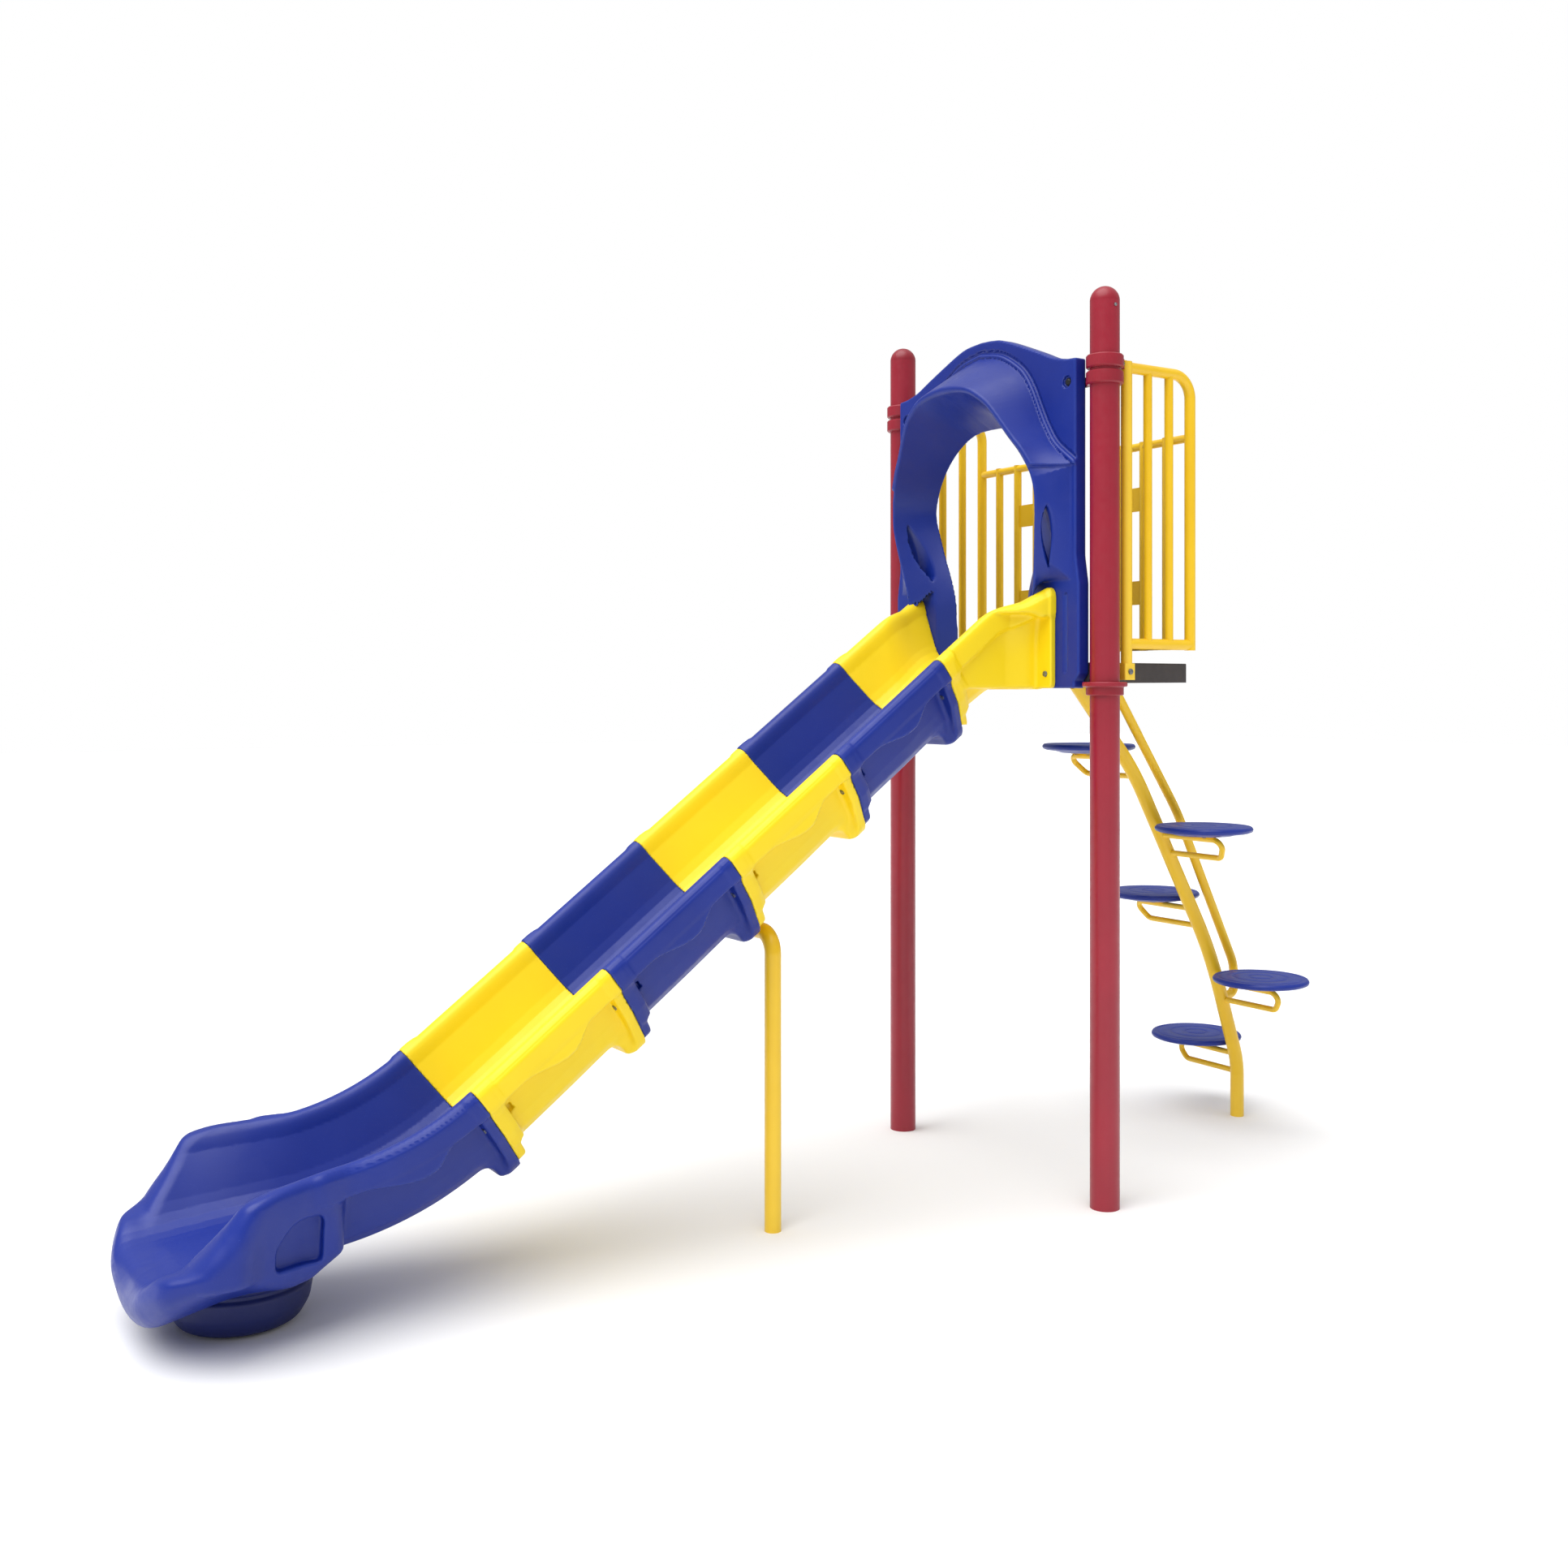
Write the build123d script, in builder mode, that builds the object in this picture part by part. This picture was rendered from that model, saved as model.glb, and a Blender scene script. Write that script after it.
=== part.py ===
from build123d import *
from math import cos, radians, sin
import os

os.makedirs("parts", exist_ok=True)

# The frame: Z is up from the ground, X runs from the slide's exit to the climber, and Y = 0 is the
# vertical plane down the middle of the slide. The origin is on the ground at the middle of the
# object's box. "Left" pieces are on the -Y side and "right" pieces are on the +Y side. All lengths
# are in millimetres.

# ---- posts ----
post_x = 684.77             # both posts stand on this line
post_y = 510.0
post_od = 88.9
post_wall = 3.0
post_height = 2770.0        # with its cap
cap_rise = 46.0
cap_spigot = 34.0
cap_wall = 4.0
fit = 0.05                  # gap between a clamp or spigot and the tube it holds
rivet_r = 2.4
rivet_head_r = 5.0
rivet_head = 2.5

# ---- deck ----
deck_top = 1640.0
deck_depth = 60.0
deck_skin = 4.0
deck_half = 457.0
deck_front = post_x - 15.0
deck_back = post_x + 404.0
deck_hole_r = 6.0
deck_hole_pitch = 38.0
joist_width = 50.0
joist_skin = 4.0
joist_front_x = post_x + 90.0
joist_back_x = post_x + 352.0
saddle_width = 30.0
saddle_height = 44.0
deck_low = deck_top - deck_depth

# ---- clamps round the posts ----
clamp_r = 56.0
clamp_height = 40.0
clamp_slit = 6.0
clamp_ear = 7.0             # thickness of one ear
clamp_ear_reach = 71.0      # how far the ears stand out from the post's axis
clamp_bolt_reach = 62.0
clamp_bolt_head_r = 7.0
guard_clamp_z = 2543.0
hood_clamp_z = 2494.0
collar_flange_r = 67.0
collar_flange = 14.0
collar_height = 40.0
bolt_r = 5.0
bolt_head_r = 9.0
bolt_head = 5.5

# ---- hood ----
hood_front = post_x - 61.0
hood_back = post_x - 17.0
lip_lean = 9.5              # degrees that the hood's mouth leans forward, like a visor
lip_foot_x = post_x + 188.4  # where the mouth's leaning plane meets the ground
hood_low = 1562.0
hood_wall = 6.0
rim_low = 1880.0
hood_bolt_y = 408.0
grip_x = post_x - 104.0
grip_low = 1927.0
grip_high = 2108.0

# ---- slide ----
slope = 36.9
joint_a_x = post_x - 453.0  # rail crest at the first joint
joint_a_z = 1645.5
pitch = 455.5
flange = 25.0
rail_y = 267.0
rail_r = 26.0
rail_wall = 7.0
skirt_depth = 80.0
bed_depth = 205.0
bed_half = 172.0
bed_corner = 42.0
trough_wall = 9.0
flange_depth = 278.0
pad_length = 56.0           # thickened foot of each upper flange
start_half = 355.0          # half width of the plate where the slide meets the hood
start_plate = 20.0
start_bend_r = 165.0
start_run = 209.0
exit_bend_r = 884.0
exit_turn = 31.9
exit_run = 330.0
exit_half = 286.0           # half width of the deep box at its rear
exit_flare = 1.3            # how much wider the trough is where it opens at the nose
exit_flare_run = 200.0
exit_box_rear_x = post_x - 2223.0
exit_rim_x = post_x - 2465.0
nose_tip_x = post_x - 2670.0
foot_x = post_x - 2408.0
section_count = 4

# ---- support leg ----
leg_x = post_x - 954.0
leg_y = -155.0
leg_r = 24.15
leg_wall = 3.0
leg_top = 856.0
leg_bend_r = 60.0
leg_end_y = 112.0
leg_plate = 6.0
leg_plate_width = 256.0      # the bolted upper part of the leg's plate
leg_plate_height = 60.0
leg_plate_mid = 262.0
leg_tab_width = 165.0        # the lower part, welded along the pipe
leg_tab_height = 32.0
leg_tab_mid = 300.0

# ---- guards ----
frame_r = 16.85
bar_r = 13.45
rail_step = 0.3              # welded rails are this much thinner than the uprights they meet
tube_wall = 2.5
guard_bars = [post_x + 89.0, post_x + 178.0, post_x + 268.0, post_x + 360.0]
guard_top = 2536.0
guard_low = 1697.0
guard_corner_r = 70.0
entry_x = guard_bars[-1]
entry_top = 2345.0
entry_bars = [410.0, 310.0, 210.0]
grip_plate_height = 77.0
grip_plate = 5.0
grip_plate_z = [2175.0, 1872.0]
bracket_width = 42.0
bracket_height = 50.0

# ---- climber ----
pole_r = 24.15
pole_wall = 3.0
pole_foot_x = post_x + 1140.0
rail_tube_r = 15.9
rail_tube_wall = 2.5
step_rise = 273.3
step_count = 5
step_r = 165.0
step_thick = 32.0
step_y = 195.0
loop_r = 10.0
loop_end_y = 292.0
loop_low_end_y = 246.0
loop_drop = 65.0
step_plate_r = 62.0
step_plate = 5.0

run = cos(radians(slope))
rise = sin(radians(slope))


def finish(piece, name):
    """Label a finished piece and write its STEP file."""
    piece.label = name
    export_step(piece, "parts/" + name + ".step")


def mirrored(piece):
    """The same piece on the other side of the object's middle plane."""
    return mirror(piece, about=Plane.XZ)


def bolt(start, direction, grip, head_r=bolt_head_r, shank_r=bolt_r, nut=6.0):
    """Round-headed bolt with a hexagonal nut; start is where the head's underside rests."""
    with BuildPart(Plane(origin=start, z_dir=direction)) as piece:
        with Locations((0, 0, -bolt_head)):
            Cylinder(head_r, bolt_head, align=(Align.CENTER, Align.CENTER, Align.MIN))
        fillet(piece.edges().sort_by(Axis((0, 0, 0), direction))[0], bolt_head * 0.6)
        Cylinder(shank_r, grip, align=(Align.CENTER, Align.CENTER, Align.MIN))
        if nut:
            with BuildSketch(Plane(origin=start, z_dir=direction).offset(grip)):
                RegularPolygon(head_r, 6)
            extrude(amount=nut)
    return piece.part


def tube_along(path_points, radii, outer_r):
    """Solid round bar along straight runs joined by tangent arcs."""
    with BuildPart() as bar:
        with BuildLine() as path:
            if radii is None:
                Polyline(*path_points)
            else:
                FilletPolyline(*path_points, radius=radii)
        with BuildSketch(path.line ^ 0):
            Circle(outer_r)
        sweep()
    return bar.part


# ---- posts, caps and rivets ----
bolt_levels = [deck_low + 18.0, deck_top - 20.0]
rivet_z = post_height - cap_rise - cap_spigot / 2
post_bore_r = post_od / 2 - post_wall

with BuildPart() as post_left:
    with Locations((post_x, -post_y, 0)):
        Cylinder(post_od / 2, post_height - cap_rise, align=(Align.CENTER, Align.CENTER, Align.MIN))
        Cylinder(post_bore_r, post_height - cap_rise, align=(Align.CENTER, Align.CENTER, Align.MIN),
                 mode=Mode.SUBTRACT)
    for level in bolt_levels:
        with BuildSketch(Plane.XZ.offset(post_y - post_bore_r - post_wall - 2)):
            with Locations((post_x, level)):
                Circle(bolt_r)
        extrude(amount=post_wall + 8, mode=Mode.SUBTRACT)
    with BuildSketch(Plane.XZ.offset(post_y)):
        with Locations((post_x, rivet_z)):
            Circle(rivet_r)
    extrude(amount=post_od, mode=Mode.SUBTRACT)

with BuildPart() as post_cap_left:
    with Locations((post_x, -post_y, post_height - cap_rise)):
        Cylinder(post_od / 2, cap_rise - post_od / 2, align=(Align.CENTER, Align.CENTER, Align.MIN))
        Cylinder(post_bore_r - fit, cap_spigot, align=(Align.CENTER, Align.CENTER, Align.MAX))
    with Locations((post_x, -post_y, post_height - post_od / 2)):
        Sphere(post_od / 2, arc_size1=0, align=(Align.CENTER, Align.CENTER, Align.MIN))
        Sphere(post_od / 2 - cap_wall, mode=Mode.SUBTRACT)
    with Locations((post_x, -post_y, post_height - cap_rise + 2)):
        Cylinder(post_bore_r - cap_wall, cap_spigot + 2, align=(Align.CENTER, Align.CENTER, Align.MAX),
                 mode=Mode.SUBTRACT)
    with BuildSketch(Plane.XZ.offset(post_y)):
        with Locations((post_x, rivet_z)):
            Circle(rivet_r)
    extrude(amount=post_od, mode=Mode.SUBTRACT)

rivet_left = bolt((post_x, -post_y - post_od / 2, rivet_z), (0, 1, 0), post_wall + cap_wall + 1.0,
                  rivet_head_r, rivet_r, 0)
finish(post_left.part, "post_left")
finish(mirrored(post_left.part), "post_right")
finish(post_cap_left.part, "post_cap_left")
finish(mirrored(post_cap_left.part), "post_cap_right")
finish(Compound([rivet_left, mirrored(rivet_left)]), "cap_rivets")


# ---- split clamps and the collars that carry the deck ----
def ring_clamp(level, turn):
    """Split ring round the left post; turn aims its two ears, and a bolt draws them together."""
    ear_length = clamp_ear_reach - post_od / 2 - 4
    with BuildPart() as clamp:
        with Locations(Location((post_x, -post_y, level), (0, 0, turn))):
            Cylinder(clamp_r, clamp_height)
            chamfer(clamp.edges().filter_by(GeomType.CIRCLE), 4)
            with Locations((clamp_ear_reach - ear_length / 2, 0, 0)):
                Box(ear_length, clamp_slit + 2 * clamp_ear, clamp_height - 10)
            Cylinder(post_od / 2 + fit, clamp_height, mode=Mode.SUBTRACT)
            with Locations((clamp_ear_reach / 2 + 10, 0, 0)):
                Box(clamp_ear_reach, clamp_slit, clamp_height, mode=Mode.SUBTRACT)
            with Locations(Location((clamp_bolt_reach, 0, 0), (90, 0, 0))):
                Cylinder(bolt_r, 60, mode=Mode.SUBTRACT)
    return clamp.part


def clamp_bolt(level, turn):
    """Bolt across the ears of a ring clamp on the left post."""
    reach = clamp_bolt_reach
    half = clamp_slit / 2 + clamp_ear
    head = (post_x + reach * cos(radians(turn)) + half * sin(radians(turn)),
            -post_y + reach * sin(radians(turn)) - half * cos(radians(turn)), level)
    return bolt(head, (-sin(radians(turn)), cos(radians(turn)), 0), 2 * half, clamp_bolt_head_r)


with BuildPart() as collar_left:
    with Locations((post_x, -post_y, deck_low)):
        Cylinder(clamp_r, collar_height, align=(Align.CENTER, Align.CENTER, Align.MAX))
        Cylinder(collar_flange_r, collar_flange, align=(Align.CENTER, Align.CENTER, Align.MAX))
    chamfer(collar_left.edges().filter_by(GeomType.CIRCLE).filter_by(
        lambda edge: edge.radius > post_od / 2), 2.5)
    with Locations((post_x, -post_y, deck_low)):
        Cylinder(post_od / 2 + fit, 3 * collar_height, mode=Mode.SUBTRACT)

guard_clamp_left = ring_clamp(guard_clamp_z, 0)
hood_clamp_left = ring_clamp(hood_clamp_z, 90)
finish(collar_left.part, "deck_collar_left")
finish(mirrored(collar_left.part), "deck_collar_right")
finish(guard_clamp_left, "guard_clamp_left")
finish(mirrored(guard_clamp_left), "guard_clamp_right")
finish(hood_clamp_left, "hood_clamp_left")
finish(mirrored(hood_clamp_left), "hood_clamp_right")
left_bolts = [clamp_bolt(guard_clamp_z, 0), clamp_bolt(hood_clamp_z, 90)]
finish(Compound(left_bolts + [mirrored(piece) for piece in left_bolts]), "clamp_bolts")

# Z-shaped strap from the hood clamp's ears forward to the back of the hood panel
strap_width = 30.0
strap_web_y = 424.0
strap_inner_y = 385.0
strap_outer_y = 461.0
with BuildPart() as hood_strap_left:
    with Locations((post_x, -(strap_outer_y + strap_web_y) / 2, hood_clamp_z)):
        Box(clamp_slit, strap_outer_y - strap_web_y, strap_width)
    with Locations(((post_x + clamp_slit / 2 + hood_back) / 2, -strap_web_y, hood_clamp_z)):
        Box(post_x + clamp_slit / 2 - hood_back, clamp_slit, strap_width)
    with Locations((hood_back + clamp_slit / 2, -(strap_web_y + strap_inner_y) / 2, hood_clamp_z)):
        Box(clamp_slit, strap_web_y - strap_inner_y, strap_width)
    with Locations(Location((post_x, -post_y + clamp_bolt_reach, hood_clamp_z), (0, 90, 0))):
        Cylinder(bolt_r, 30, mode=Mode.SUBTRACT)
    with Locations(Location((hood_back, -hood_bolt_y, hood_clamp_z), (0, 90, 0))):
        Cylinder(bolt_r, 30, mode=Mode.SUBTRACT)
finish(hood_strap_left.part, "hood_strap_left")
finish(mirrored(hood_strap_left.part), "hood_strap_right")


# ---- deck, its joists and the saddles that bolt it to the posts ----
deck_length = deck_back - deck_front
deck_mid_x = (deck_front + deck_back) / 2
hood_foot_bolt_y = 335.0
hood_foot_bolt_z = 1606.0
guard_bracket_z = deck_top - 3 - bracket_height / 2
pole_bolt_y = 38.0
pole_bolt_x = 24.0
rail_plate_bolt_y = 40.0
rail_plate_z = 1608.0

with BuildPart() as deck_platform:
    with Locations((deck_mid_x, 0, deck_top)):
        Box(deck_length, 2 * deck_half, deck_depth, align=(Align.CENTER, Align.CENTER, Align.MAX))
    fillet(deck_platform.edges().filter_by(Axis.Z), 8)
    fillet(deck_platform.faces().sort_by(Axis.Z)[-1].edges(), 3)
    with Locations((deck_mid_x, 0, deck_top - deck_skin)):
        Box(deck_length - 2 * deck_skin, 2 * (deck_half - deck_skin), deck_depth,
            align=(Align.CENTER, Align.CENTER, Align.MAX), mode=Mode.SUBTRACT)
    with BuildSketch(Plane.XY.offset(deck_top)):
        with Locations((deck_mid_x, 0)):
            with GridLocations(deck_hole_pitch, deck_hole_pitch, 10, 23):
                Circle(deck_hole_r)
    extrude(amount=-deck_skin, mode=Mode.SUBTRACT)
    with BuildSketch(Plane.XZ.offset(-deck_half)):
        with Locations(*[(post_x, level) for level in bolt_levels]):
            Circle(bolt_r)
        with Locations((guard_bars[0], guard_bracket_z)):
            Circle(bolt_r)
    extrude(amount=2 * deck_half, mode=Mode.SUBTRACT)
    with BuildSketch(Plane.YZ.offset(deck_front)):
        with Locations((-hood_foot_bolt_y, hood_foot_bolt_z), (hood_foot_bolt_y, hood_foot_bolt_z)):
            Circle(bolt_r)
    extrude(amount=deck_skin, mode=Mode.SUBTRACT)
    with BuildSketch(Plane.YZ.offset(deck_back)):
        with Locations((-rail_plate_bolt_y, rail_plate_z), (rail_plate_bolt_y, rail_plate_z)):
            Circle(bolt_r)
    extrude(amount=-deck_skin, mode=Mode.SUBTRACT)

joist_height = deck_depth - deck_skin - 1.0


def joist(mid_x, bolts):
    """Channel across the deck's underside, open at the top, with the climber's bolt holes if any."""
    with BuildPart() as channel:
        with Locations((mid_x, 0, deck_low + 1)):
            Box(joist_width, 2 * (deck_half - deck_skin), joist_height,
                align=(Align.CENTER, Align.CENTER, Align.MIN))
        with Locations((mid_x, 0, deck_low + 1 + joist_skin)):
            Box(joist_width - 2 * joist_skin, 2 * deck_half, joist_height,
                align=(Align.CENTER, Align.CENTER, Align.MIN), mode=Mode.SUBTRACT)
        for x, y in bolts:
            with Locations((x, y, deck_low)):
                Cylinder(bolt_r, 2 * joist_skin + 2, mode=Mode.SUBTRACT)
    return channel.part


pole_bolts = [(joist_back_x + side_x * pole_bolt_x / 2, side_y * pole_bolt_y)
              for side_x in (-1, 1) for side_y in (-1, 1)]
joist_front = joist(joist_front_x, [])
joist_back = joist(joist_back_x, pole_bolts)

with BuildPart() as saddle_left:
    with Locations((post_x, -(deck_half + 10), (deck_low + deck_top) / 2)):
        Box(saddle_width, 20, saddle_height)
    with Locations((post_x, -post_y, deck_low)):
        Cylinder(post_od / 2 + fit, 4 * deck_depth, mode=Mode.SUBTRACT)
    with BuildSketch(Plane.XZ.offset(deck_half - 5)):
        with Locations(*[(post_x, level) for level in bolt_levels]):
            Circle(bolt_r)
    extrude(amount=40, mode=Mode.SUBTRACT)

deck_grip = post_y - post_bore_r - deck_half + deck_skin + 1.5
deck_bolts_left = [bolt((post_x, -deck_half + deck_skin, level), (0, -1, 0), deck_grip)
                   for level in bolt_levels]
finish(deck_platform.part, "deck_platform")
finish(joist_front, "deck_joist_front")
finish(joist_back, "deck_joist_back")
finish(saddle_left.part, "deck_saddle_left")
finish(mirrored(saddle_left.part), "deck_saddle_right")
finish(Compound(deck_bolts_left + [mirrored(piece) for piece in deck_bolts_left]), "deck_bolts")


# ---- hood: a hollow moulded arch between the posts ----
def arch(spring_half, spring_z, top_z, knee_half, knee_z, low_half, low_z):
    """Closed arch outline: an elliptical head on two legs that bend at the knee."""
    with BuildSketch() as outline:
        with BuildLine():
            head = EllipticalCenterArc((0, spring_z), spring_half, top_z - spring_z, start_angle=0,
                                       arc_size=180)
            Polyline(head @ 1, (-knee_half, knee_z), (-low_half, low_z), (low_half, low_z),
                     (knee_half, knee_z), head @ 0)
        make_face()
    return outline.sketch


def hood_panel(shrink):
    """Outline of the back panel: square shoulders, a hump in the middle and wider feet."""
    with BuildSketch() as outline:
        with BuildLine():
            hump = Spline((-372, 2555 - shrink), (-300, 2580 - shrink), (-180, 2648 - shrink),
                          (0, 2688 - shrink), (180, 2648 - shrink), (300, 2580 - shrink),
                          (372, 2555 - shrink), tangents=[(1, 0), (1, 0)])
            Polyline(hump @ 1, (446 - shrink, 2558 - shrink), (446 - shrink, 1965),
                     (461 - shrink, 1870), (461 - shrink, 1600), (441 - shrink, 1584),
                     (441 - shrink, hood_low + shrink), (-441 + shrink, hood_low + shrink),
                     (-441 + shrink, 1584), (-461 + shrink, 1600), (-461 + shrink, 1870),
                     (-446 + shrink, 1965), (-446 + shrink, 2558 - shrink), hump @ 0)
        make_face()
    return outline.sketch


def hood_form(shrink):
    """Panel plus flared rim, less the funnel through them; shrink makes the hollow inside."""
    panel_face = hood_panel(shrink)
    ridge_face = arch(438 - shrink, 2225, 2626 - shrink, 438 - shrink, 1980, 438 - shrink,
                      rim_low + shrink)
    crest_face = arch(380 - shrink, 2180, 2562 - shrink, 350 - shrink, 1960, 340 - shrink,
                      rim_low + 26 + shrink)
    mouth_face = arch(362 + shrink, 2180, 2541 + shrink, 336 + shrink, 1926, 320 + shrink, hood_low - 60)
    throat_face = arch(292 + shrink, 2160, 2405 + shrink, 180 + shrink, 1855, 172 + shrink, hood_low - 60)
    lip = Plane(origin=(lip_foot_x, 0, 0), x_dir=(0, 1, 0),
                z_dir=(cos(radians(lip_lean)), 0, sin(radians(lip_lean))))
    with BuildPart() as form:
        with BuildSketch(Plane.YZ.offset(hood_front + shrink)):
            add(panel_face)
        extrude(amount=hood_back - hood_front - 2 * shrink)
        with BuildSketch(Plane.YZ.offset(hood_front + shrink + 1)):
            add(ridge_face)
        with BuildSketch(lip.offset(shrink)):
            add(crest_face)
        loft(ruled=True)
        with BuildSketch(lip.offset(-1)):
            add(mouth_face)
        with BuildSketch(Plane.YZ.offset(hood_back + 1)):
            add(throat_face)
        loft(ruled=True, mode=Mode.SUBTRACT)
    return form.part


def grip_slot(grow):
    """The two hand slots through the rim's legs."""
    with BuildPart() as slots:
        with BuildSketch(Plane.XZ.offset(-480)):
            with Locations((grip_x, (grip_low + grip_high) / 2)):
                SlotOverall(grip_high - grip_low + 2 * grow, 26 + 2 * grow, rotation=90)
        extrude(amount=960)
    return slots.part


hood_cavity = hood_form(hood_wall)
hood_cavity -= grip_slot(hood_wall)
with BuildPart() as hood:
    add(hood_form(0))
    add(grip_slot(0), mode=Mode.SUBTRACT)
    add(hood_cavity, mode=Mode.SUBTRACT)
    for side in (-1, 1):
        with Locations(Location((hood_front, side * hood_bolt_y, hood_clamp_z), (0, 90, 0))):
            Cylinder(bolt_r, 200, mode=Mode.SUBTRACT)
        with Locations(Location((hood_front, side * hood_foot_bolt_y, hood_foot_bolt_z), (0, 90, 0))):
            Cylinder(bolt_r, 200, mode=Mode.SUBTRACT)
hood_bolt = bolt((hood_front, -hood_bolt_y, hood_clamp_z), (1, 0, 0),
                 hood_back - hood_front + clamp_slit)
finish(hood.part, "hood")
finish(Compound([hood_bolt, mirrored(hood_bolt)]), "hood_bolts")


# ---- slide profiles, drawn as seen down the slope: x across the slide, y down into its depth ----
def joint_plane(index, along=0.0):
    """Plane square to the slope, at a distance down the slope from joint number index."""
    distance = index * pitch + along
    return Plane(origin=(joint_a_x - run * distance, 0, joint_a_z - rise * distance),
                 x_dir=(0, 1, 0), z_dir=(-run, 0, -rise))


with BuildSketch() as trough_profile:
    with BuildLine():
        inner = rail_y - rail_r + 1
        Polyline((-inner, -60), (-inner, rail_r), (-bed_half, bed_depth), (bed_half, bed_depth),
                 (inner, rail_r), (inner, -60), close=True)
    make_face()
    fillet(trough_profile.vertices().group_by(Axis.Y)[-1], bed_corner)
trough_face = trough_profile.sketch

with BuildSketch() as wall_profile:
    add(trough_face)
    offset(amount=trough_wall)
    with Locations((0, rail_r / 2 - 100)):
        Rectangle(800, 200 + rail_r, mode=Mode.SUBTRACT)
    with Locations((rail_y, rail_r), (-rail_y, rail_r)):
        Circle(rail_r)
        Circle(rail_r - rail_wall, mode=Mode.SUBTRACT)
    with BuildLine():
        Polyline((rail_y + rail_r, rail_r), (rail_y + rail_r - 3, skirt_depth),
                 (rail_y + rail_r - 3 - rail_wall, skirt_depth), (rail_y + rail_r - rail_wall, rail_r),
                 close=True)
    make_face()
    mirror(about=Plane.YZ)
    add(trough_face, mode=Mode.SUBTRACT)
wall_face = wall_profile.sketch

with BuildSketch() as flange_profile:
    with BuildLine():
        outer = Polyline((rail_y + rail_r, rail_r), (rail_y + rail_r - 3, 62), (271, 99), (253, 160),
                         (196, 262))
        lobe = ThreePointArc(outer @ 1, (186, 273), (168, flange_depth))
        Polyline(lobe @ 1, (0, flange_depth), (0, rail_r), outer @ 0)
    make_face()
    mirror(about=Plane.YZ)
    with Locations((rail_y, rail_r), (-rail_y, rail_r)):
        Circle(rail_r)
    add(trough_face, mode=Mode.SUBTRACT)
flange_face = flange_profile.sketch

with BuildSketch() as pad_profile:
    with Locations((0, (bed_depth + flange_depth) / 2)):
        RectangleRounded(2 * 178, flange_depth - bed_depth, 24)
    add(trough_face, mode=Mode.SUBTRACT)
pad_face = pad_profile.sketch

joint_bolts = [(-237, 118), (237, 118), (-110, 248), (110, 248)]


def bolt_holes(plane, depth):
    """Bolt holes of a joint, cut from a plane down the slope."""
    with BuildPart() as holes:
        with BuildSketch(plane):
            with Locations(*joint_bolts):
                Circle(bolt_r)
        extrude(amount=depth)
    return holes.part


def slide_section(index):
    """Open trough with rolled rails, a skirt outside each rail and a flange at both ends."""
    with BuildPart() as section:
        with BuildSketch(joint_plane(index)):
            add(wall_face)
        extrude(amount=pitch)
        with BuildSketch(joint_plane(index)):
            add(pad_face)
        extrude(amount=pad_length)
        for along in (0, pitch - flange):
            with BuildSketch(joint_plane(index, along)):
                add(flange_face)
            extrude(amount=flange)
            add(bolt_holes(joint_plane(index, along), pad_length), mode=Mode.SUBTRACT)
    return section.part


for index in range(section_count):
    finish(slide_section(index), "slide_section_" + str(index + 1))

# start: from the first joint up and over to the deck
def tilted_plane(x, z, tilt):
    """Plane across the slide through a rail crest, where the slide falls by tilt degrees."""
    return Plane(origin=(x, 0, z), x_dir=(0, 1, 0), z_dir=(-cos(radians(tilt)), 0, -sin(radians(tilt))))


def channel(face, start_plane, first, centre, turn, last):
    """A profile drawn straight, turned about a level axis, and drawn straight again."""
    with BuildPart() as run_of_profile:
        if first:
            with BuildSketch(start_plane):
                add(face)
            extrude(amount=first)
        with BuildSketch(start_plane.offset(first)):
            add(face)
        revolve(axis=Axis((centre[0], 0, centre[1]), (0, 1, 0)), revolution_arc=turn)
        last_plane, last_length = last
        with BuildSketch(last_plane):
            add(face)
        extrude(amount=last_length)
    return run_of_profile.part


bed_a = (joint_a_x + rise * bed_depth, joint_a_z - run * bed_depth)
start_bend = (bed_a[0] + run * start_run, bed_a[1] + rise * start_run)
start_centre = (start_bend[0] + rise * start_bend_r, start_bend[1] - run * start_bend_r)
start_level_z = start_centre[1] + start_bend_r
start_rail_z = start_level_z + bed_depth


def start_channel(face, end_x):
    """A profile carried from the first joint up to a point over the hood's foot."""
    level = Plane(origin=(start_centre[0], 0, start_rail_z), x_dir=(0, 1, 0), z_dir=(-1, 0, 0))
    return channel(face, joint_plane(0), -start_run, start_centre, slope,
                   (level, start_centre[0] - end_x))


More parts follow.
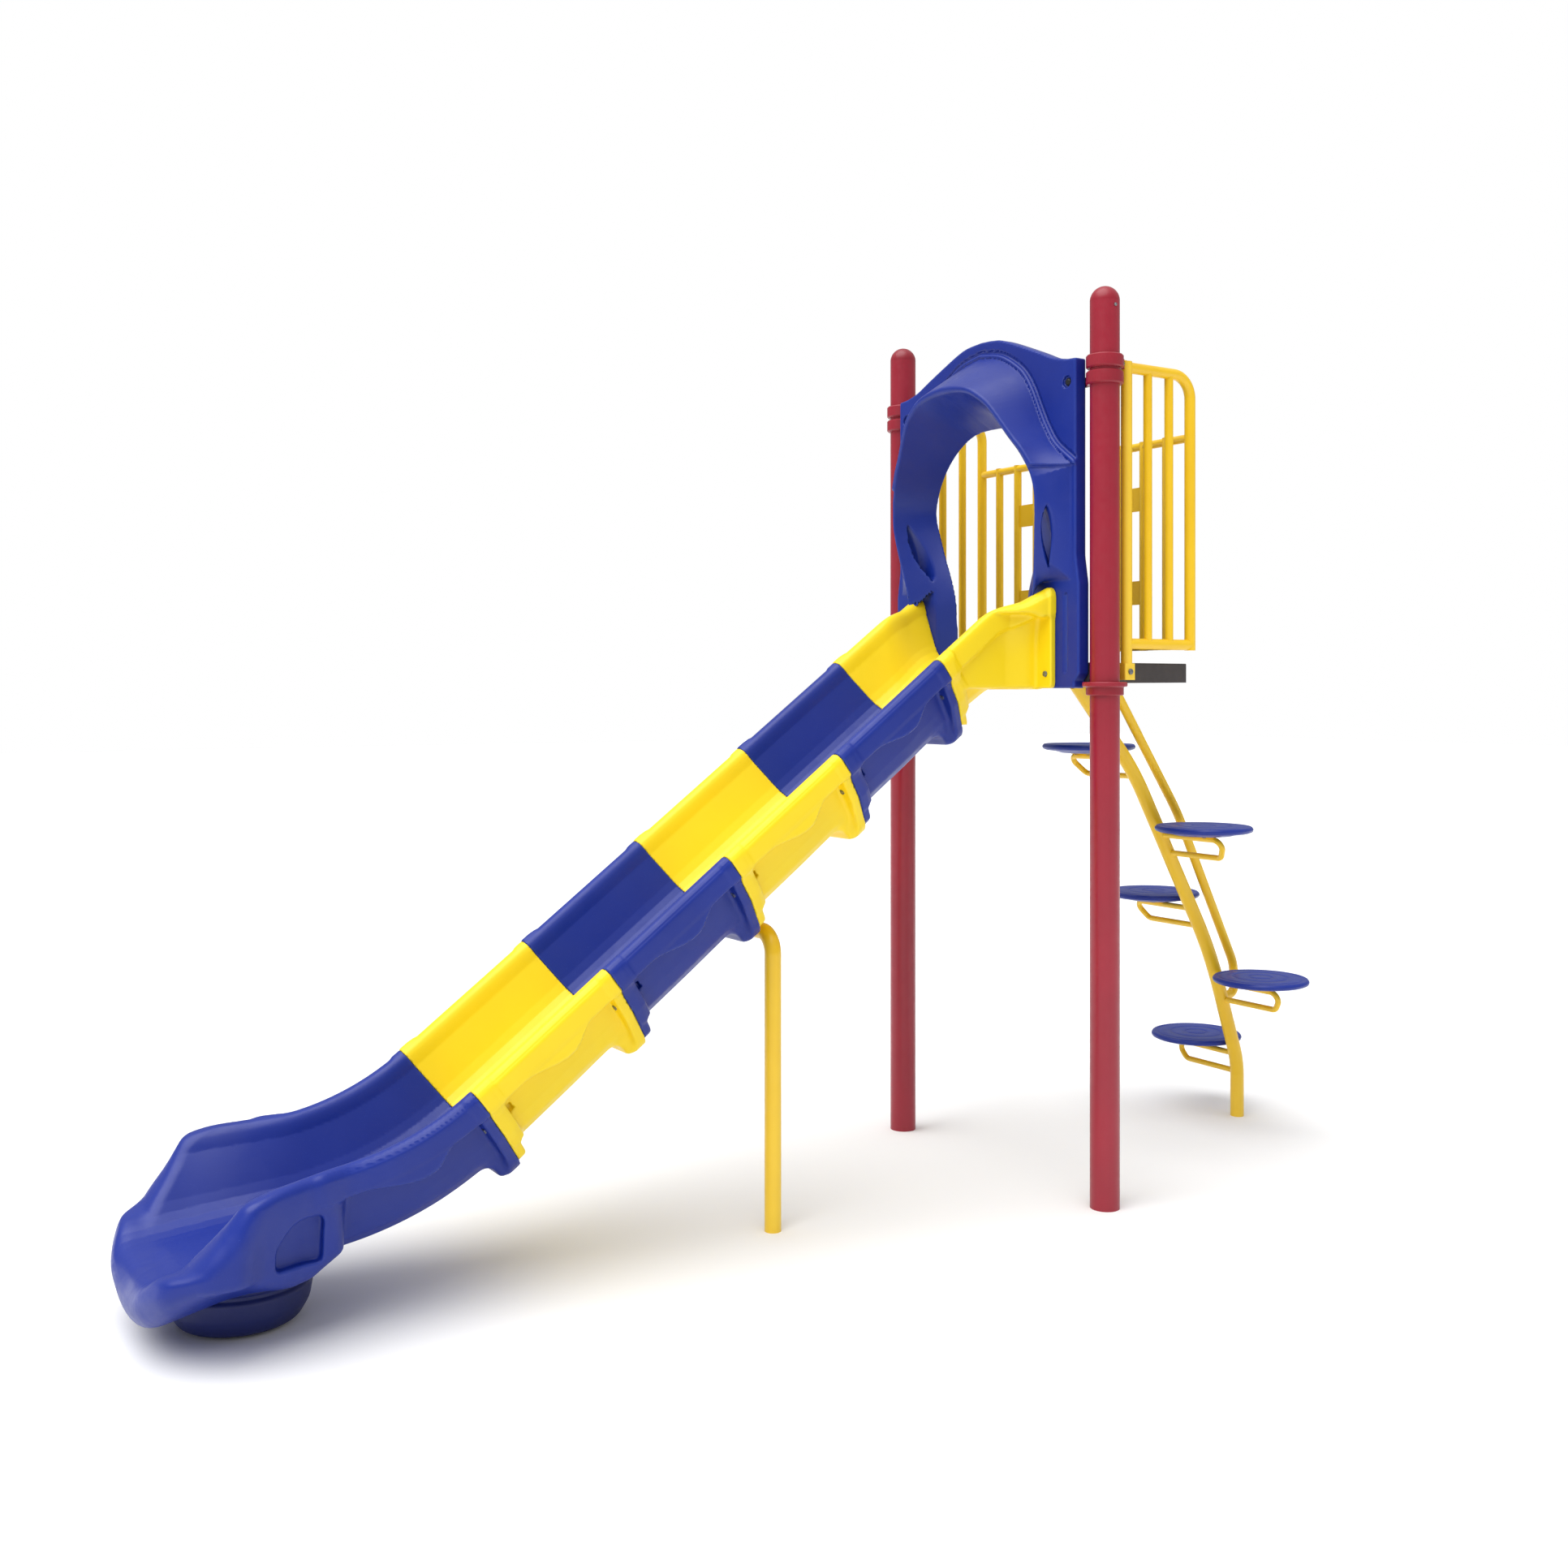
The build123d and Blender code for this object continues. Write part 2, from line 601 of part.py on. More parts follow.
with BuildPart() as slide_start:
    add(start_channel(wall_face, hood_front))
    with BuildSketch(joint_plane(0, -flange)):
        add(flange_face)
    extrude(amount=flange)
    # flat side walls from the rails down to the level of the hood's foot
    for side in (-1, 1):
        with BuildSketch(Plane.XZ.offset(-side * (rail_y + 6) - trough_wall / 2)):
            with BuildLine():
                Polyline((hood_front - 5, hood_low), (joint_a_x + 95, hood_low),
                         (joint_a_x + 48, joint_a_z - 25), (joint_a_x + 165, joint_a_z + 77),
                         (joint_a_x + 270, joint_a_z + 135), (hood_front - 5, joint_a_z + 158), close=True)
            make_face()
        extrude(amount=trough_wall)
    # plate that meets the hood's feet
    with BuildSketch(Plane.YZ.offset(hood_front)):
        with Locations((0, hood_low)):
            RectangleRounded(2 * start_half, start_rail_z + 8 - hood_low, 18,
                             align=(Align.CENTER, Align.MIN))
    extrude(amount=-start_plate)
    add(start_channel(trough_face, hood_front + 1), mode=Mode.SUBTRACT)
    # tongue of the bed between the hood's legs, up to the deck
    with Locations((hood_front - 1, 0, start_level_z)):
        Box(deck_front - hood_front, 2 * 190, trough_wall, align=(Align.MIN, Align.CENTER, Align.MAX))
    for side in (-1, 1):
        with Locations(Location((hood_front, side * hood_foot_bolt_y, hood_foot_bolt_z), (0, 90, 0))):
            Cylinder(bolt_r, 3 * start_plate, mode=Mode.SUBTRACT)
    add(bolt_holes(joint_plane(0, -pad_length), pad_length), mode=Mode.SUBTRACT)
finish(slide_start.part, "slide_start")

# exit: a long run-out bend, then a rounded nose that rolls down to the ground
exit_tilt = slope - exit_turn
bed_e = (bed_a[0] - run * pitch * section_count, bed_a[1] - rise * pitch * section_count)
exit_centre = (bed_e[0] - rise * exit_bend_r, bed_e[1] + run * exit_bend_r)
exit_rail_r = exit_bend_r - bed_depth
exit_flat = tilted_plane(exit_centre[0] + exit_rail_r * sin(radians(exit_tilt)),
                         exit_centre[1] - exit_rail_r * cos(radians(exit_tilt)), exit_tilt)
nose_low = 50.0
rim_bottom_z = 385.0        # under the rails, where the box starts

with BuildSketch() as grown_profile:
    add(trough_face)
    offset(amount=trough_wall)
grown_face = grown_profile.sketch

with BuildSketch() as filled_profile:
    add(trough_face)
    with Locations((0, rail_r / 2 - 100)):
        Rectangle(800, 200 + rail_r, mode=Mode.SUBTRACT)
    add(wall_face)
filled_face = filled_profile.sketch


def exit_trough(face):
    """A profile carried round the exit's bend, then widened over the flat run and out through the nose."""
    wide_face = scale(face, by=(exit_flare, 1, 1), mode=Mode.PRIVATE)
    with BuildPart() as cut:
        add(channel(face, joint_plane(section_count), 0, exit_centre, exit_turn, (exit_flat, 1)))
        with BuildSketch(exit_flat):
            add(face)
        with BuildSketch(exit_flat.offset(exit_flare_run)):
            add(wide_face)
        loft(ruled=True)
        with BuildSketch(exit_flat.offset(exit_flare_run)):
            add(wide_face)
        extrude(amount=400)
    return cut.part


def exit_block(shrink):
    """Deep box under the slide's end: flared in plan, bowl-shaped below, with a blunt rounded nose."""
    rear_x = exit_box_rear_x - shrink
    tip_x = nose_tip_x + shrink
    rim_x = exit_rim_x + shrink
    flat_x = exit_flat.origin.X + 2 - shrink
    half = exit_half - shrink
    with BuildPart() as block:
        with BuildSketch(Plane.XZ):
            with BuildLine():
                base = Polyline((rim_x, 386 - shrink), (flat_x, 417 - shrink),
                                (flat_x, rim_bottom_z - shrink), (rear_x, rim_bottom_z - shrink),
                                (rear_x, 136 + shrink), (rear_x - 130, 112 + shrink),
                                (nose_tip_x + 45, nose_low + shrink))
                Spline(base @ 1, (tip_x, 118), (tip_x + 70, 186 - shrink), (rim_x - 80, 300), base @ 0,
                       tangents=[(-1, 0.2), (1, 0.15)])
            make_face()
        extrude(amount=2 * half, both=True)
        with BuildSketch(Plane.XY):
            with BuildLine():
                edge = Polyline((rear_x + 40, 0), (rear_x + 40, half), (exit_box_rear_x - 90, half + 10))
                Spline(edge @ 1, (rim_x + 20, half + 62), (rim_x - 60, half + 74), (rim_x - 140, half + 26),
                       (tip_x + 16, half - 86), (tip_x, 0), tangents=[(-1, 0.15), (0, -1)])
                mirror(about=Plane.XZ)
            make_face()
        extrude(amount=600, mode=Mode.INTERSECT)
        with BuildSketch(Plane.YZ.offset(tip_x - 100)):
            with BuildLine():
                bowl = ThreePointArc((-362, nose_low + 170 + shrink), (0, nose_low + shrink),
                                     (362, nose_low + 170 + shrink))
                Polyline(bowl @ 1, (450, 320), (450, 600), (-450, 600), (-450, 320), bowl @ 0)
            make_face()
        extrude(amount=1000, mode=Mode.INTERSECT)
    return block.part


exit_solid = exit_block(0)
exit_hollow = exit_block(trough_wall) - exit_trough(grown_face)
with BuildPart() as slide_exit:
    add(exit_solid)
    add(channel(filled_face, joint_plane(section_count), 0, exit_centre, exit_turn, (exit_flat, 4)))
    with BuildSketch(joint_plane(section_count)):
        add(flange_face)
    extrude(amount=flange)
    with BuildSketch(joint_plane(section_count)):
        add(pad_face)
    extrude(amount=pad_length)
    add(exit_hollow, mode=Mode.SUBTRACT)
    add(exit_trough(trough_face), mode=Mode.SUBTRACT)
    add(bolt_holes(joint_plane(section_count), pad_length), mode=Mode.SUBTRACT)
finish(slide_exit.part, "slide_exit")

# round moulded boot that stands under the exit
with BuildPart() as exit_foot:
    with BuildSketch(Plane.XZ):
        with BuildLine():
            sole = Line((foot_x, 0), (foot_x + 117, 0))
            bulge = ThreePointArc(sole @ 1, (foot_x + 160, 28), (foot_x + 177, 92))
            Polyline(bulge @ 1, (foot_x + 172, 160), (foot_x, 160), (foot_x, 0))
        make_face()
    revolve(axis=Axis((foot_x, 0, 0), (0, 0, 1)))
    add(exit_solid, mode=Mode.SUBTRACT)
finish(exit_foot.part, "exit_foot")


# ---- bolts of the slide ----
def joint_bolt_set(index, before, after):
    """Four bolts through a joint; before and after are the thicknesses each side of it."""
    head_plane = joint_plane(index, -before)
    pieces = []
    for across, deep in joint_bolts:
        start = head_plane.from_local_coords((across, deep, 0))
        pieces.append(bolt(start, head_plane.z_dir, before + after))
    return pieces


leg_joint = 2
joint_bolt_pieces = []
for index in range(section_count + 1):
    plates = leg_plate if index == leg_joint else 0
    high_pair = joint_bolt_set(index, flange, flange)[:2]
    low_pair = joint_bolt_set(index, flange + plates, pad_length)[2:]
    joint_bolt_pieces += high_pair + low_pair
finish(Compound(joint_bolt_pieces), "slide_joint_bolts")

hood_foot_bolts = []
for side in (-1, 1):
    head = hood_front - start_plate
    hood_foot_bolts.append(bolt((head, side * hood_foot_bolt_y, hood_foot_bolt_z), (1, 0, 0),
                                deck_front + deck_skin - head))
finish(Compound(hood_foot_bolts), "slide_hood_bolts")

# ---- support leg under the third joint ----
leg_points = [(leg_x, leg_y, 0), (leg_x, leg_y, leg_top), (leg_x, leg_end_y, leg_top)]
leg_solid = tube_along(leg_points, leg_bend_r, leg_r)
leg_bore = tube_along([(leg_x, leg_y, -10), (leg_x, leg_y, leg_top), (leg_x, leg_end_y + 10, leg_top)],
                      leg_bend_r, leg_r - leg_wall)
with BuildPart() as support_leg:
    add(leg_solid)
    add(leg_bore, mode=Mode.SUBTRACT)

bracket_plane = joint_plane(leg_joint, -flange - leg_plate)
with BuildPart() as leg_bracket:
    with BuildSketch(bracket_plane):
        with Locations((0, leg_plate_mid)):
            RectangleRounded(leg_plate_width, leg_plate_height, 10)
        with Locations((12.5, leg_tab_mid)):
            Rectangle(leg_tab_width, leg_tab_height)
        with Locations((-110, 248), (110, 248)):
            Circle(bolt_r, mode=Mode.SUBTRACT)
    extrude(amount=leg_plate)
    with Locations(Location((leg_x, 0, leg_top), (90, 0, 0))):
        Cylinder(leg_r, 2 * leg_plate_width, mode=Mode.SUBTRACT)
finish(support_leg.part, "support_leg")
finish(leg_bracket.part, "leg_bracket")


# ---- guards: welded tube frames ----
def upright(x, y, low, high, radius):
    """Round bar standing at x, y."""
    bar = Cylinder(radius, high - low, align=(Align.CENTER, Align.CENTER, Align.MIN), mode=Mode.PRIVATE)
    return bar.moved(Location((x, y, low)))


def side_frame(y, core):
    """Bars of a side guard; core is 0 for the outside and the wall thickness for the bores."""
    frame = frame_r - core
    bars = bar_r - core
    first, last = guard_bars[0], guard_bars[-1]
    end = core * 2
    pieces = tube_along([(first, y, guard_top), (last, y, guard_top), (last, y, guard_low - frame_r + end)],
                        guard_corner_r, frame)
    pieces += upright(first, y, deck_top - 3 + end, guard_top + frame_r + rail_step - end, frame + rail_step)
    low_rail = Cylinder(frame - rail_step, last - first, mode=Mode.PRIVATE)
    pieces += low_rail.moved(Location(((first + last) / 2, y, guard_low), (0, 90, 0)))
    for x in guard_bars[1:-1]:
        pieces += upright(x, y, guard_low, guard_top, bars)
    return pieces


def side_guard():
    """Left side guard with the tab that its clamp grips."""
    y = -post_y
    with BuildPart() as guard:
        add(side_frame(y, 0))
        with Locations((post_x + clamp_ear_reach, y, guard_clamp_z)):
            Box(36, clamp_slit - 0.4, clamp_height - 12)
        with Locations(Location((post_x + clamp_bolt_reach, y, guard_clamp_z), (90, 0, 0))):
            Cylinder(bolt_r, 60, mode=Mode.SUBTRACT)
        add(side_frame(y, tube_wall), mode=Mode.SUBTRACT)
    return guard.part


def entry_guard():
    """Left half of the guard across the deck's open edge, with two flat hand plates."""
    with BuildPart() as guard:
        for level in (guard_low, entry_top):
            with Locations(Location((entry_x, -(post_y + entry_bars[-1]) / 2, level), (90, 0, 0))):
                Cylinder(bar_r - rail_step, post_y - entry_bars[-1])
        for y in entry_bars:
            add(upright(entry_x, -y, guard_low - bar_r, entry_top + bar_r, bar_r))
        for level in grip_plate_z:
            with Locations((entry_x, -(entry_bars[-1] + entry_bars[-2]) / 2, level)):
                Box(grip_plate, entry_bars[-2] - entry_bars[-1], grip_plate_height)
        for level in (guard_low, entry_top):
            with Locations(Location((entry_x, -(post_y + entry_bars[-1]) / 2, level), (90, 0, 0))):
                Cylinder(bar_r - rail_step - tube_wall, post_y - entry_bars[-1], mode=Mode.SUBTRACT)
        for y in entry_bars:
            add(upright(entry_x, -y, guard_low, entry_top, bar_r - tube_wall), mode=Mode.SUBTRACT)
        add(side_frame(-post_y, 0), mode=Mode.SUBTRACT)
    return guard.part


with BuildPart() as guard_bracket_left:
    with Locations((guard_bars[0], -(deck_half + post_y + frame_r) / 2, deck_top - 3)):
        Box(bracket_width, post_y + frame_r - deck_half, bracket_height,
            align=(Align.CENTER, Align.CENTER, Align.MAX))
    fillet(guard_bracket_left.edges().filter_by(Axis.Z), 4)
    with Locations((guard_bars[0], -(deck_half + post_y + frame_r) / 2, deck_top - 8)):
        Box(bracket_width - 10, post_y + frame_r - deck_half - 10, bracket_height,
            align=(Align.CENTER, Align.CENTER, Align.MAX), mode=Mode.SUBTRACT)
    with BuildSketch(Plane.XZ.offset(deck_half - 5)):
        with Locations((guard_bars[0], guard_bracket_z)):
            Circle(bolt_r)
    extrude(amount=100, mode=Mode.SUBTRACT)
bracket_bolt = bolt((guard_bars[0], -post_y - frame_r, guard_bracket_z), (0, 1, 0),
                    post_y + frame_r - deck_half + deck_skin)

guard_left = side_guard()
entry_left = entry_guard()
finish(guard_left, "side_guard_left")
finish(mirrored(guard_left), "side_guard_right")
finish(entry_left, "entry_guard_left")
finish(mirrored(entry_left), "entry_guard_right")
finish(guard_bracket_left.part, "guard_bracket_left")
finish(mirrored(guard_bracket_left.part), "guard_bracket_right")
finish(Compound([bracket_bolt, mirrored(bracket_bolt)]), "guard_bolts")

# ---- climber: a leaning pole with a second rail, and round steps to alternate sides ----
pole_line = [(pole_foot_x, 0), (pole_foot_x, 200), (pole_foot_x - 140, 610),
             (pole_foot_x - 520, 1275), (pole_foot_x - 788, 1577)]
pole_bends = [300, 1500, 900]
pole_points = [(x, 0, z) for x, z in pole_line]
pole_plate = 6.0
pole_solid = tube_along(pole_points, pole_bends, pole_r)
pole_bore_points = [(pole_foot_x, 0, -5)] + pole_points[1:]
pole_bore = tube_along(pole_bore_points, pole_bends, pole_r - pole_wall)


def pole_x(level):
    """X of the pole's axis at a height, along its straight runs."""
    for (low_x, low_z), (high_x, high_z) in zip(pole_line, pole_line[1:]):
        if level <= high_z:
            return low_x + (high_x - low_x) * (level - low_z) / (high_z - low_z)
    return pole_line[-1][0]


with BuildPart() as climber_pole:
    add(pole_solid)
    add(pole_bore, mode=Mode.SUBTRACT)
    with Locations((joist_back_x, 0, deck_low + 1 - pole_plate)):
        Box(200, 200, 200, align=(Align.CENTER, Align.CENTER, Align.MIN), mode=Mode.SUBTRACT)
finish(climber_pole.part, "climber_pole")

with BuildPart() as pole_plate_part:
    with Locations((joist_back_x, 0, deck_low + 1)):
        Box(joist_width, 2 * pole_bolt_y + 36, pole_plate,
            align=(Align.CENTER, Align.CENTER, Align.MAX))
    fillet(pole_plate_part.edges().filter_by(Axis.Z), 8)
    for x, y in pole_bolts:
        with Locations((x, y, deck_low)):
            Cylinder(bolt_r, 30, mode=Mode.SUBTRACT)
pole_plate_bolts = [bolt((x, y, deck_low + 1 - pole_plate), (0, 0, 1), pole_plate + joist_skin, nut=5.0)
                    for x, y in pole_bolts]
finish(pole_plate_part.part, "climber_top_plate")

rail_plate = 6.0
rail_foot_z = 447.0
rail_points = [(deck_back + rail_plate, 0, rail_plate_z), (post_x + 498, 0, rail_plate_z),
               (post_x + 832, 0, 1125), (post_x + 1120, 0, 560), (post_x + 1126, 0, rail_foot_z),
               (pole_x(rail_foot_z), 0, rail_foot_z)]
rail_bends = [85, 900, 150, 32]
with BuildPart() as climber_rail:
    add(tube_along(rail_points, rail_bends, rail_tube_r))
    add(tube_along(rail_points, rail_bends, rail_tube_r - rail_tube_wall), mode=Mode.SUBTRACT)
    with Locations((deck_back + rail_plate / 2, 0, rail_plate_z)):
        Box(rail_plate, 2 * rail_plate_bolt_y + 30, 46)
    for side in (-1, 1):
        with Locations(Location((deck_back, side * rail_plate_bolt_y, rail_plate_z), (0, 90, 0))):
            Cylinder(bolt_r, 40, mode=Mode.SUBTRACT)
    add(pole_solid, mode=Mode.SUBTRACT)
rail_bolt_pieces = [bolt((deck_back + rail_plate, side * rail_plate_bolt_y, rail_plate_z), (-1, 0, 0),
                         rail_plate + deck_skin) for side in (-1, 1)]
finish(climber_rail.part, "climber_rail")
finish(Compound(pole_plate_bolts + rail_bolt_pieces), "climber_bolts")


def step_centre(number):
    """Middle of a step's top face; odd steps are to the right of the pole."""
    top = number * step_rise
    side = 1 if number % 2 else -1
    return pole_x(top - 60), side * step_y, top


screw_r = 3.0
screw_ring = 44.0
step_screws = []
for number in range(1, step_count + 1):
    x, y, top = step_centre(number)
    side = 1 if y > 0 else -1
    under = top - step_thick
    with BuildPart() as step:
        with BuildSketch(Plane.XZ.offset(-y)):
            with BuildLine():
                edge = Spline((x, top), (x + step_r - 34, top - 5), (x + step_r, top - 18),
                              tangents=[(1, 0), (0, -1)])
                lip = ThreePointArc(edge @ 1, (x + step_r - 3, top - 27), (x + step_r - 10, under))
                Polyline(lip @ 1, (x, under), (x, top))
            make_face()
        revolve(axis=Axis((x, y, 0), (0, 0, 1)))
        with Locations((x, y, under)):
            with PolarLocations(screw_ring, 4, 45):
                Cylinder(screw_r, 24, mode=Mode.SUBTRACT)
    finish(step.part, "step_" + str(number))

    high_z = under - step_plate - loop_r + 1
    low_z = high_z - loop_drop
    loop_points = [(pole_x(high_z), 0, high_z), (pole_x(high_z), side * loop_end_y, high_z),
                   (pole_x(low_z), side * loop_low_end_y, low_z), (pole_x(low_z), 0, low_z)]
    with BuildPart() as bracket:
        add(tube_along(loop_points, 27, loop_r))
        with Locations((x, y, under)):
            Cylinder(step_plate_r, step_plate, align=(Align.CENTER, Align.CENTER, Align.MAX))
            with PolarLocations(screw_ring, 4, 45):
                Cylinder(screw_r, 24, mode=Mode.SUBTRACT)
        add(pole_solid, mode=Mode.SUBTRACT)
    finish(bracket.part, "step_bracket_" + str(number))
    with BuildPart() as screws:
        with Locations((x, y, under)):
            with PolarLocations(screw_ring, 4, 45):
                Cylinder(screw_r, 12)
        with Locations((x, y, under - step_plate)):
            with PolarLocations(screw_ring, 4, 45):
                Cylinder(2 * screw_r, 3.5, align=(Align.CENTER, Align.CENTER, Align.MAX))
    step_screws += screws.part.solids()
finish(Compound(step_screws), "step_screws")
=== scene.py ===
import math

import bpy
import numpy as np
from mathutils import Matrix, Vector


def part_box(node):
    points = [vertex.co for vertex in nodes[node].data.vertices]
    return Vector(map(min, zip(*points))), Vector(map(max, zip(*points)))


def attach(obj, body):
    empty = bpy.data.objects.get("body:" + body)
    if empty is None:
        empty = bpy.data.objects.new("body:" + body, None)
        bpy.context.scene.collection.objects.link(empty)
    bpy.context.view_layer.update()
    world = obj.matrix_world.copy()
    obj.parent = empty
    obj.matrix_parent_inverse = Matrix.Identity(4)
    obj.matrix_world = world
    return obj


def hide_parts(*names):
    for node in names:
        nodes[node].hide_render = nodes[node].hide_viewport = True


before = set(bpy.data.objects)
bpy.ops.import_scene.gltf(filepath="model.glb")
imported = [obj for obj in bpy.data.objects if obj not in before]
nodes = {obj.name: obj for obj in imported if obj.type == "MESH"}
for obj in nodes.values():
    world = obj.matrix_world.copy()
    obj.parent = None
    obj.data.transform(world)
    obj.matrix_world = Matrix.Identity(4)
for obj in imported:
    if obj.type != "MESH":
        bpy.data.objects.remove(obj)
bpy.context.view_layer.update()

# Shapes are worked out in millimetres, with x measured from the line of the two posts,
# y across the slide and z up from the ground. MM turns them into the frame's metres.
MM = 0.001
post_low, post_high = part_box("post_left")
post_x = (post_low.x + post_high.x) / 2

# ---- driving sizes of the slide and hood, as in the CAD source ----
slope = math.radians(36.9)
run, rise = math.cos(slope), math.sin(slope)
joint_a = (-453.0, 1645.5)      # rail crest at the first joint
pitch = 455.5
section_count = 4
bed_depth = 205.0               # from the rails' crest down to the bed
bed_half = 172.0
flange = 25.0
pad_length = 56.0
cheek_length, cheek_depth = 46.0, 212.0
pocket_r = 13.0
start_run, start_bend_r = 209.0, 165.0
exit_bend_r, exit_turn = 884.0, math.radians(31.9)
hood_front, hood_back = -61.0, -17.0
hood_low, rim_low = 1562.0, 1880.0
joint_bolts = [(237.0, 118.0), (110.0, 248.0)]      # side and depth of a joint's bolts
hood_bolt = (408.0, 2494.0)     # side and height of a bolt in the hood's top corner
seam = 2.5                      # rounding of every moulded end, which shows as a fine joint line
bed_edge = 5.0                  # rounding where a trough's hollow meets its rails


# ---- distance fields: negative inside, in millimetres ----
def ease(low, high, value):
    t = np.clip((value - low) / (high - low), 0, 1)
    return t * t * (3 - 2 * t)


def join(a, b, radius):
    """Union with a fillet of about that radius."""
    h = np.clip(0.5 + 0.5 * (b - a) / radius, 0, 1)
    return b + (a - b) * h - radius * h * (1 - h)


def meet(a, b, radius):
    """What is in both, with a rounded edge."""
    return -join(-a, -b, radius)


def carve(a, b, radius):
    """a with b cut out of it, with a rounded edge."""
    return -join(-a, b, radius)


def slab(value, low, high):
    return np.abs(value - (low + high) / 2) - (high - low) / 2


def rounded(corners):
    """Outline points from corners given as (u, v) or (u, v, radius)."""
    points = []
    for i, corner in enumerate(corners):
        here = np.array(corner[:2], float)
        if len(corner) == 2:
            points.append(here)
            continue
        back = np.array(corners[i - 1][:2], float) - here
        ahead = np.array(corners[(i + 1) % len(corners)][:2], float) - here
        back_length, ahead_length = np.linalg.norm(back), np.linalg.norm(ahead)
        half = math.acos(np.clip(back @ ahead / (back_length * ahead_length), -1, 1)) / 2
        reach = min(corner[2] / math.tan(half), back_length * 0.49, ahead_length * 0.49)
        start, end = here + back / back_length * reach, here + ahead / ahead_length * reach
        for t in np.linspace(0, 1, 6):
            points.append((1 - t) ** 2 * start + 2 * t * (1 - t) * here + t * t * end)
    return points


def flowing(knots, pieces=5):
    """Points of a smooth curve through the knots."""
    knots = [2 * np.array(knots[0], float) - knots[1]] + [np.array(k, float) for k in knots]
    knots.append(2 * knots[-1] - knots[-2])
    points = []
    for before, start, end, after in zip(knots, knots[1:], knots[2:], knots[3:]):
        for t in np.arange(pieces) / pieces:
            points.append(tuple(0.5 * (2 * start + (end - before) * t
                                       + (2 * before - 5 * start + 4 * end - after) * t * t
                                       + (3 * start - before - 3 * end + after) * t ** 3)))
    return points + [tuple(knots[-2])]


def outline(corners):
    """Signed distance to a closed outline, as a function of two coordinates."""
    points = np.array(rounded(corners))
    ends = np.roll(points, -1, axis=0)

    def field(u, v):
        nearest = np.full(np.shape(u), 1e12)
        inside = np.zeros(np.shape(u), bool)
        for (au, av), (bu, bv) in zip(points, ends):
            eu, ev = bu - au, bv - av
            wu, wv = u - au, v - av
            t = np.clip((wu * eu + wv * ev) / (eu * eu + ev * ev + 1e-9), 0, 1)
            nearest = np.minimum(nearest, (wu - eu * t) ** 2 + (wv - ev * t) ** 2)
            if av != bv:
                inside ^= ((av <= v) != (bv <= v)) & (wu < eu * wv / ev)
        return np.where(inside, -1.0, 1.0) * np.sqrt(nearest)

    return field


# ---- from a distance field to a mesh ----
BLOCK = 4


def gradient(field, points, reach=0.4):
    columns = []
    for axis in range(3):
        shift = np.zeros(3)
        shift[axis] = reach
        columns.append(field(*(points + shift).T) - field(*(points - shift).T))
    return np.stack(columns, axis=1) / (2 * reach)


def skin(field, low, high, step):
    """Closed quad mesh of the field's zero surface: vertices, faces and vertex normals.

    The field is sampled on a coarse grid first, and finely only in the blocks near its surface.
    One vertex goes into each cell that the surface crosses, and is then moved onto the surface.
    """
    low = np.array(low, float)
    blocks = np.ceil((np.array(high, float) - low) / (step * BLOCK)).astype(int)
    size = blocks * BLOCK
    centres = [low[i] + (np.arange(blocks[i]) * BLOCK + (BLOCK - 1) / 2) * step for i in range(3)]
    coarse = field(*np.meshgrid(*centres, indexing="ij"))
    grid = np.where(coarse < 0, -1e3, 1e3)
    for axis in range(3):
        grid = np.repeat(grid, BLOCK, axis)
    near = np.argwhere(np.abs(coarse) < step * BLOCK * 1.5 + 6)
    offsets = np.indices((BLOCK,) * 3).reshape(3, -1).T
    for part in np.array_split(near, len(near) // 3000 + 1):
        index = (part[:, None] * BLOCK + offsets).reshape(-1, 3)
        grid[tuple(index.T)] = field(*(low + index * step).T)
    stride = np.array([size[1] * size[2], size[2], 1])
    crossings, quads, keys = [], [], []
    for axis in range(3):
        u, v = (axis + 1) % 3, (axis + 2) % 3
        a = grid.take(np.arange(size[axis] - 1), axis)
        b = grid.take(np.arange(1, size[axis]), axis)
        index = np.argwhere((a < 0) != (b < 0))
        at_a, at_b = a[tuple(index.T)], b[tuple(index.T)]
        place = index.astype(float)
        place[:, axis] += at_a / (at_a - at_b)
        corners = []
        for step_u, step_v in ((0, 0), (1, 0), (1, 1), (0, 1)):
            cell = index.copy()
            cell[:, u] -= step_u
            cell[:, v] -= step_v
            corners.append(cell @ stride)
        corners = np.stack(corners, axis=1)
        crossings.append(np.repeat(place, 4, axis=0))
        quads.append(np.where((at_a < 0)[:, None], corners, corners[:, ::-1]))
        keys.append(corners.ravel())
    keys, crossings, quads = map(np.concatenate, (keys, crossings, quads))
    cells, slot_of = np.unique(keys, return_inverse=True)
    count = np.bincount(slot_of)
    points = np.stack([np.bincount(slot_of, crossings[:, i]) / count for i in range(3)], axis=1)
    points = low + points * step
    faces = np.searchsorted(cells, quads)
    for _ in range(3):
        slope_here = gradient(field, points)
        move = field(*points.T) / np.maximum((slope_here ** 2).sum(1), 0.2)
        points -= np.clip(move, -step / 2, step / 2)[:, None] * slope_here
    normals = gradient(field, points, 1.2)
    normals /= np.linalg.norm(normals, axis=1)[:, None] + 1e-9
    return points, faces, normals


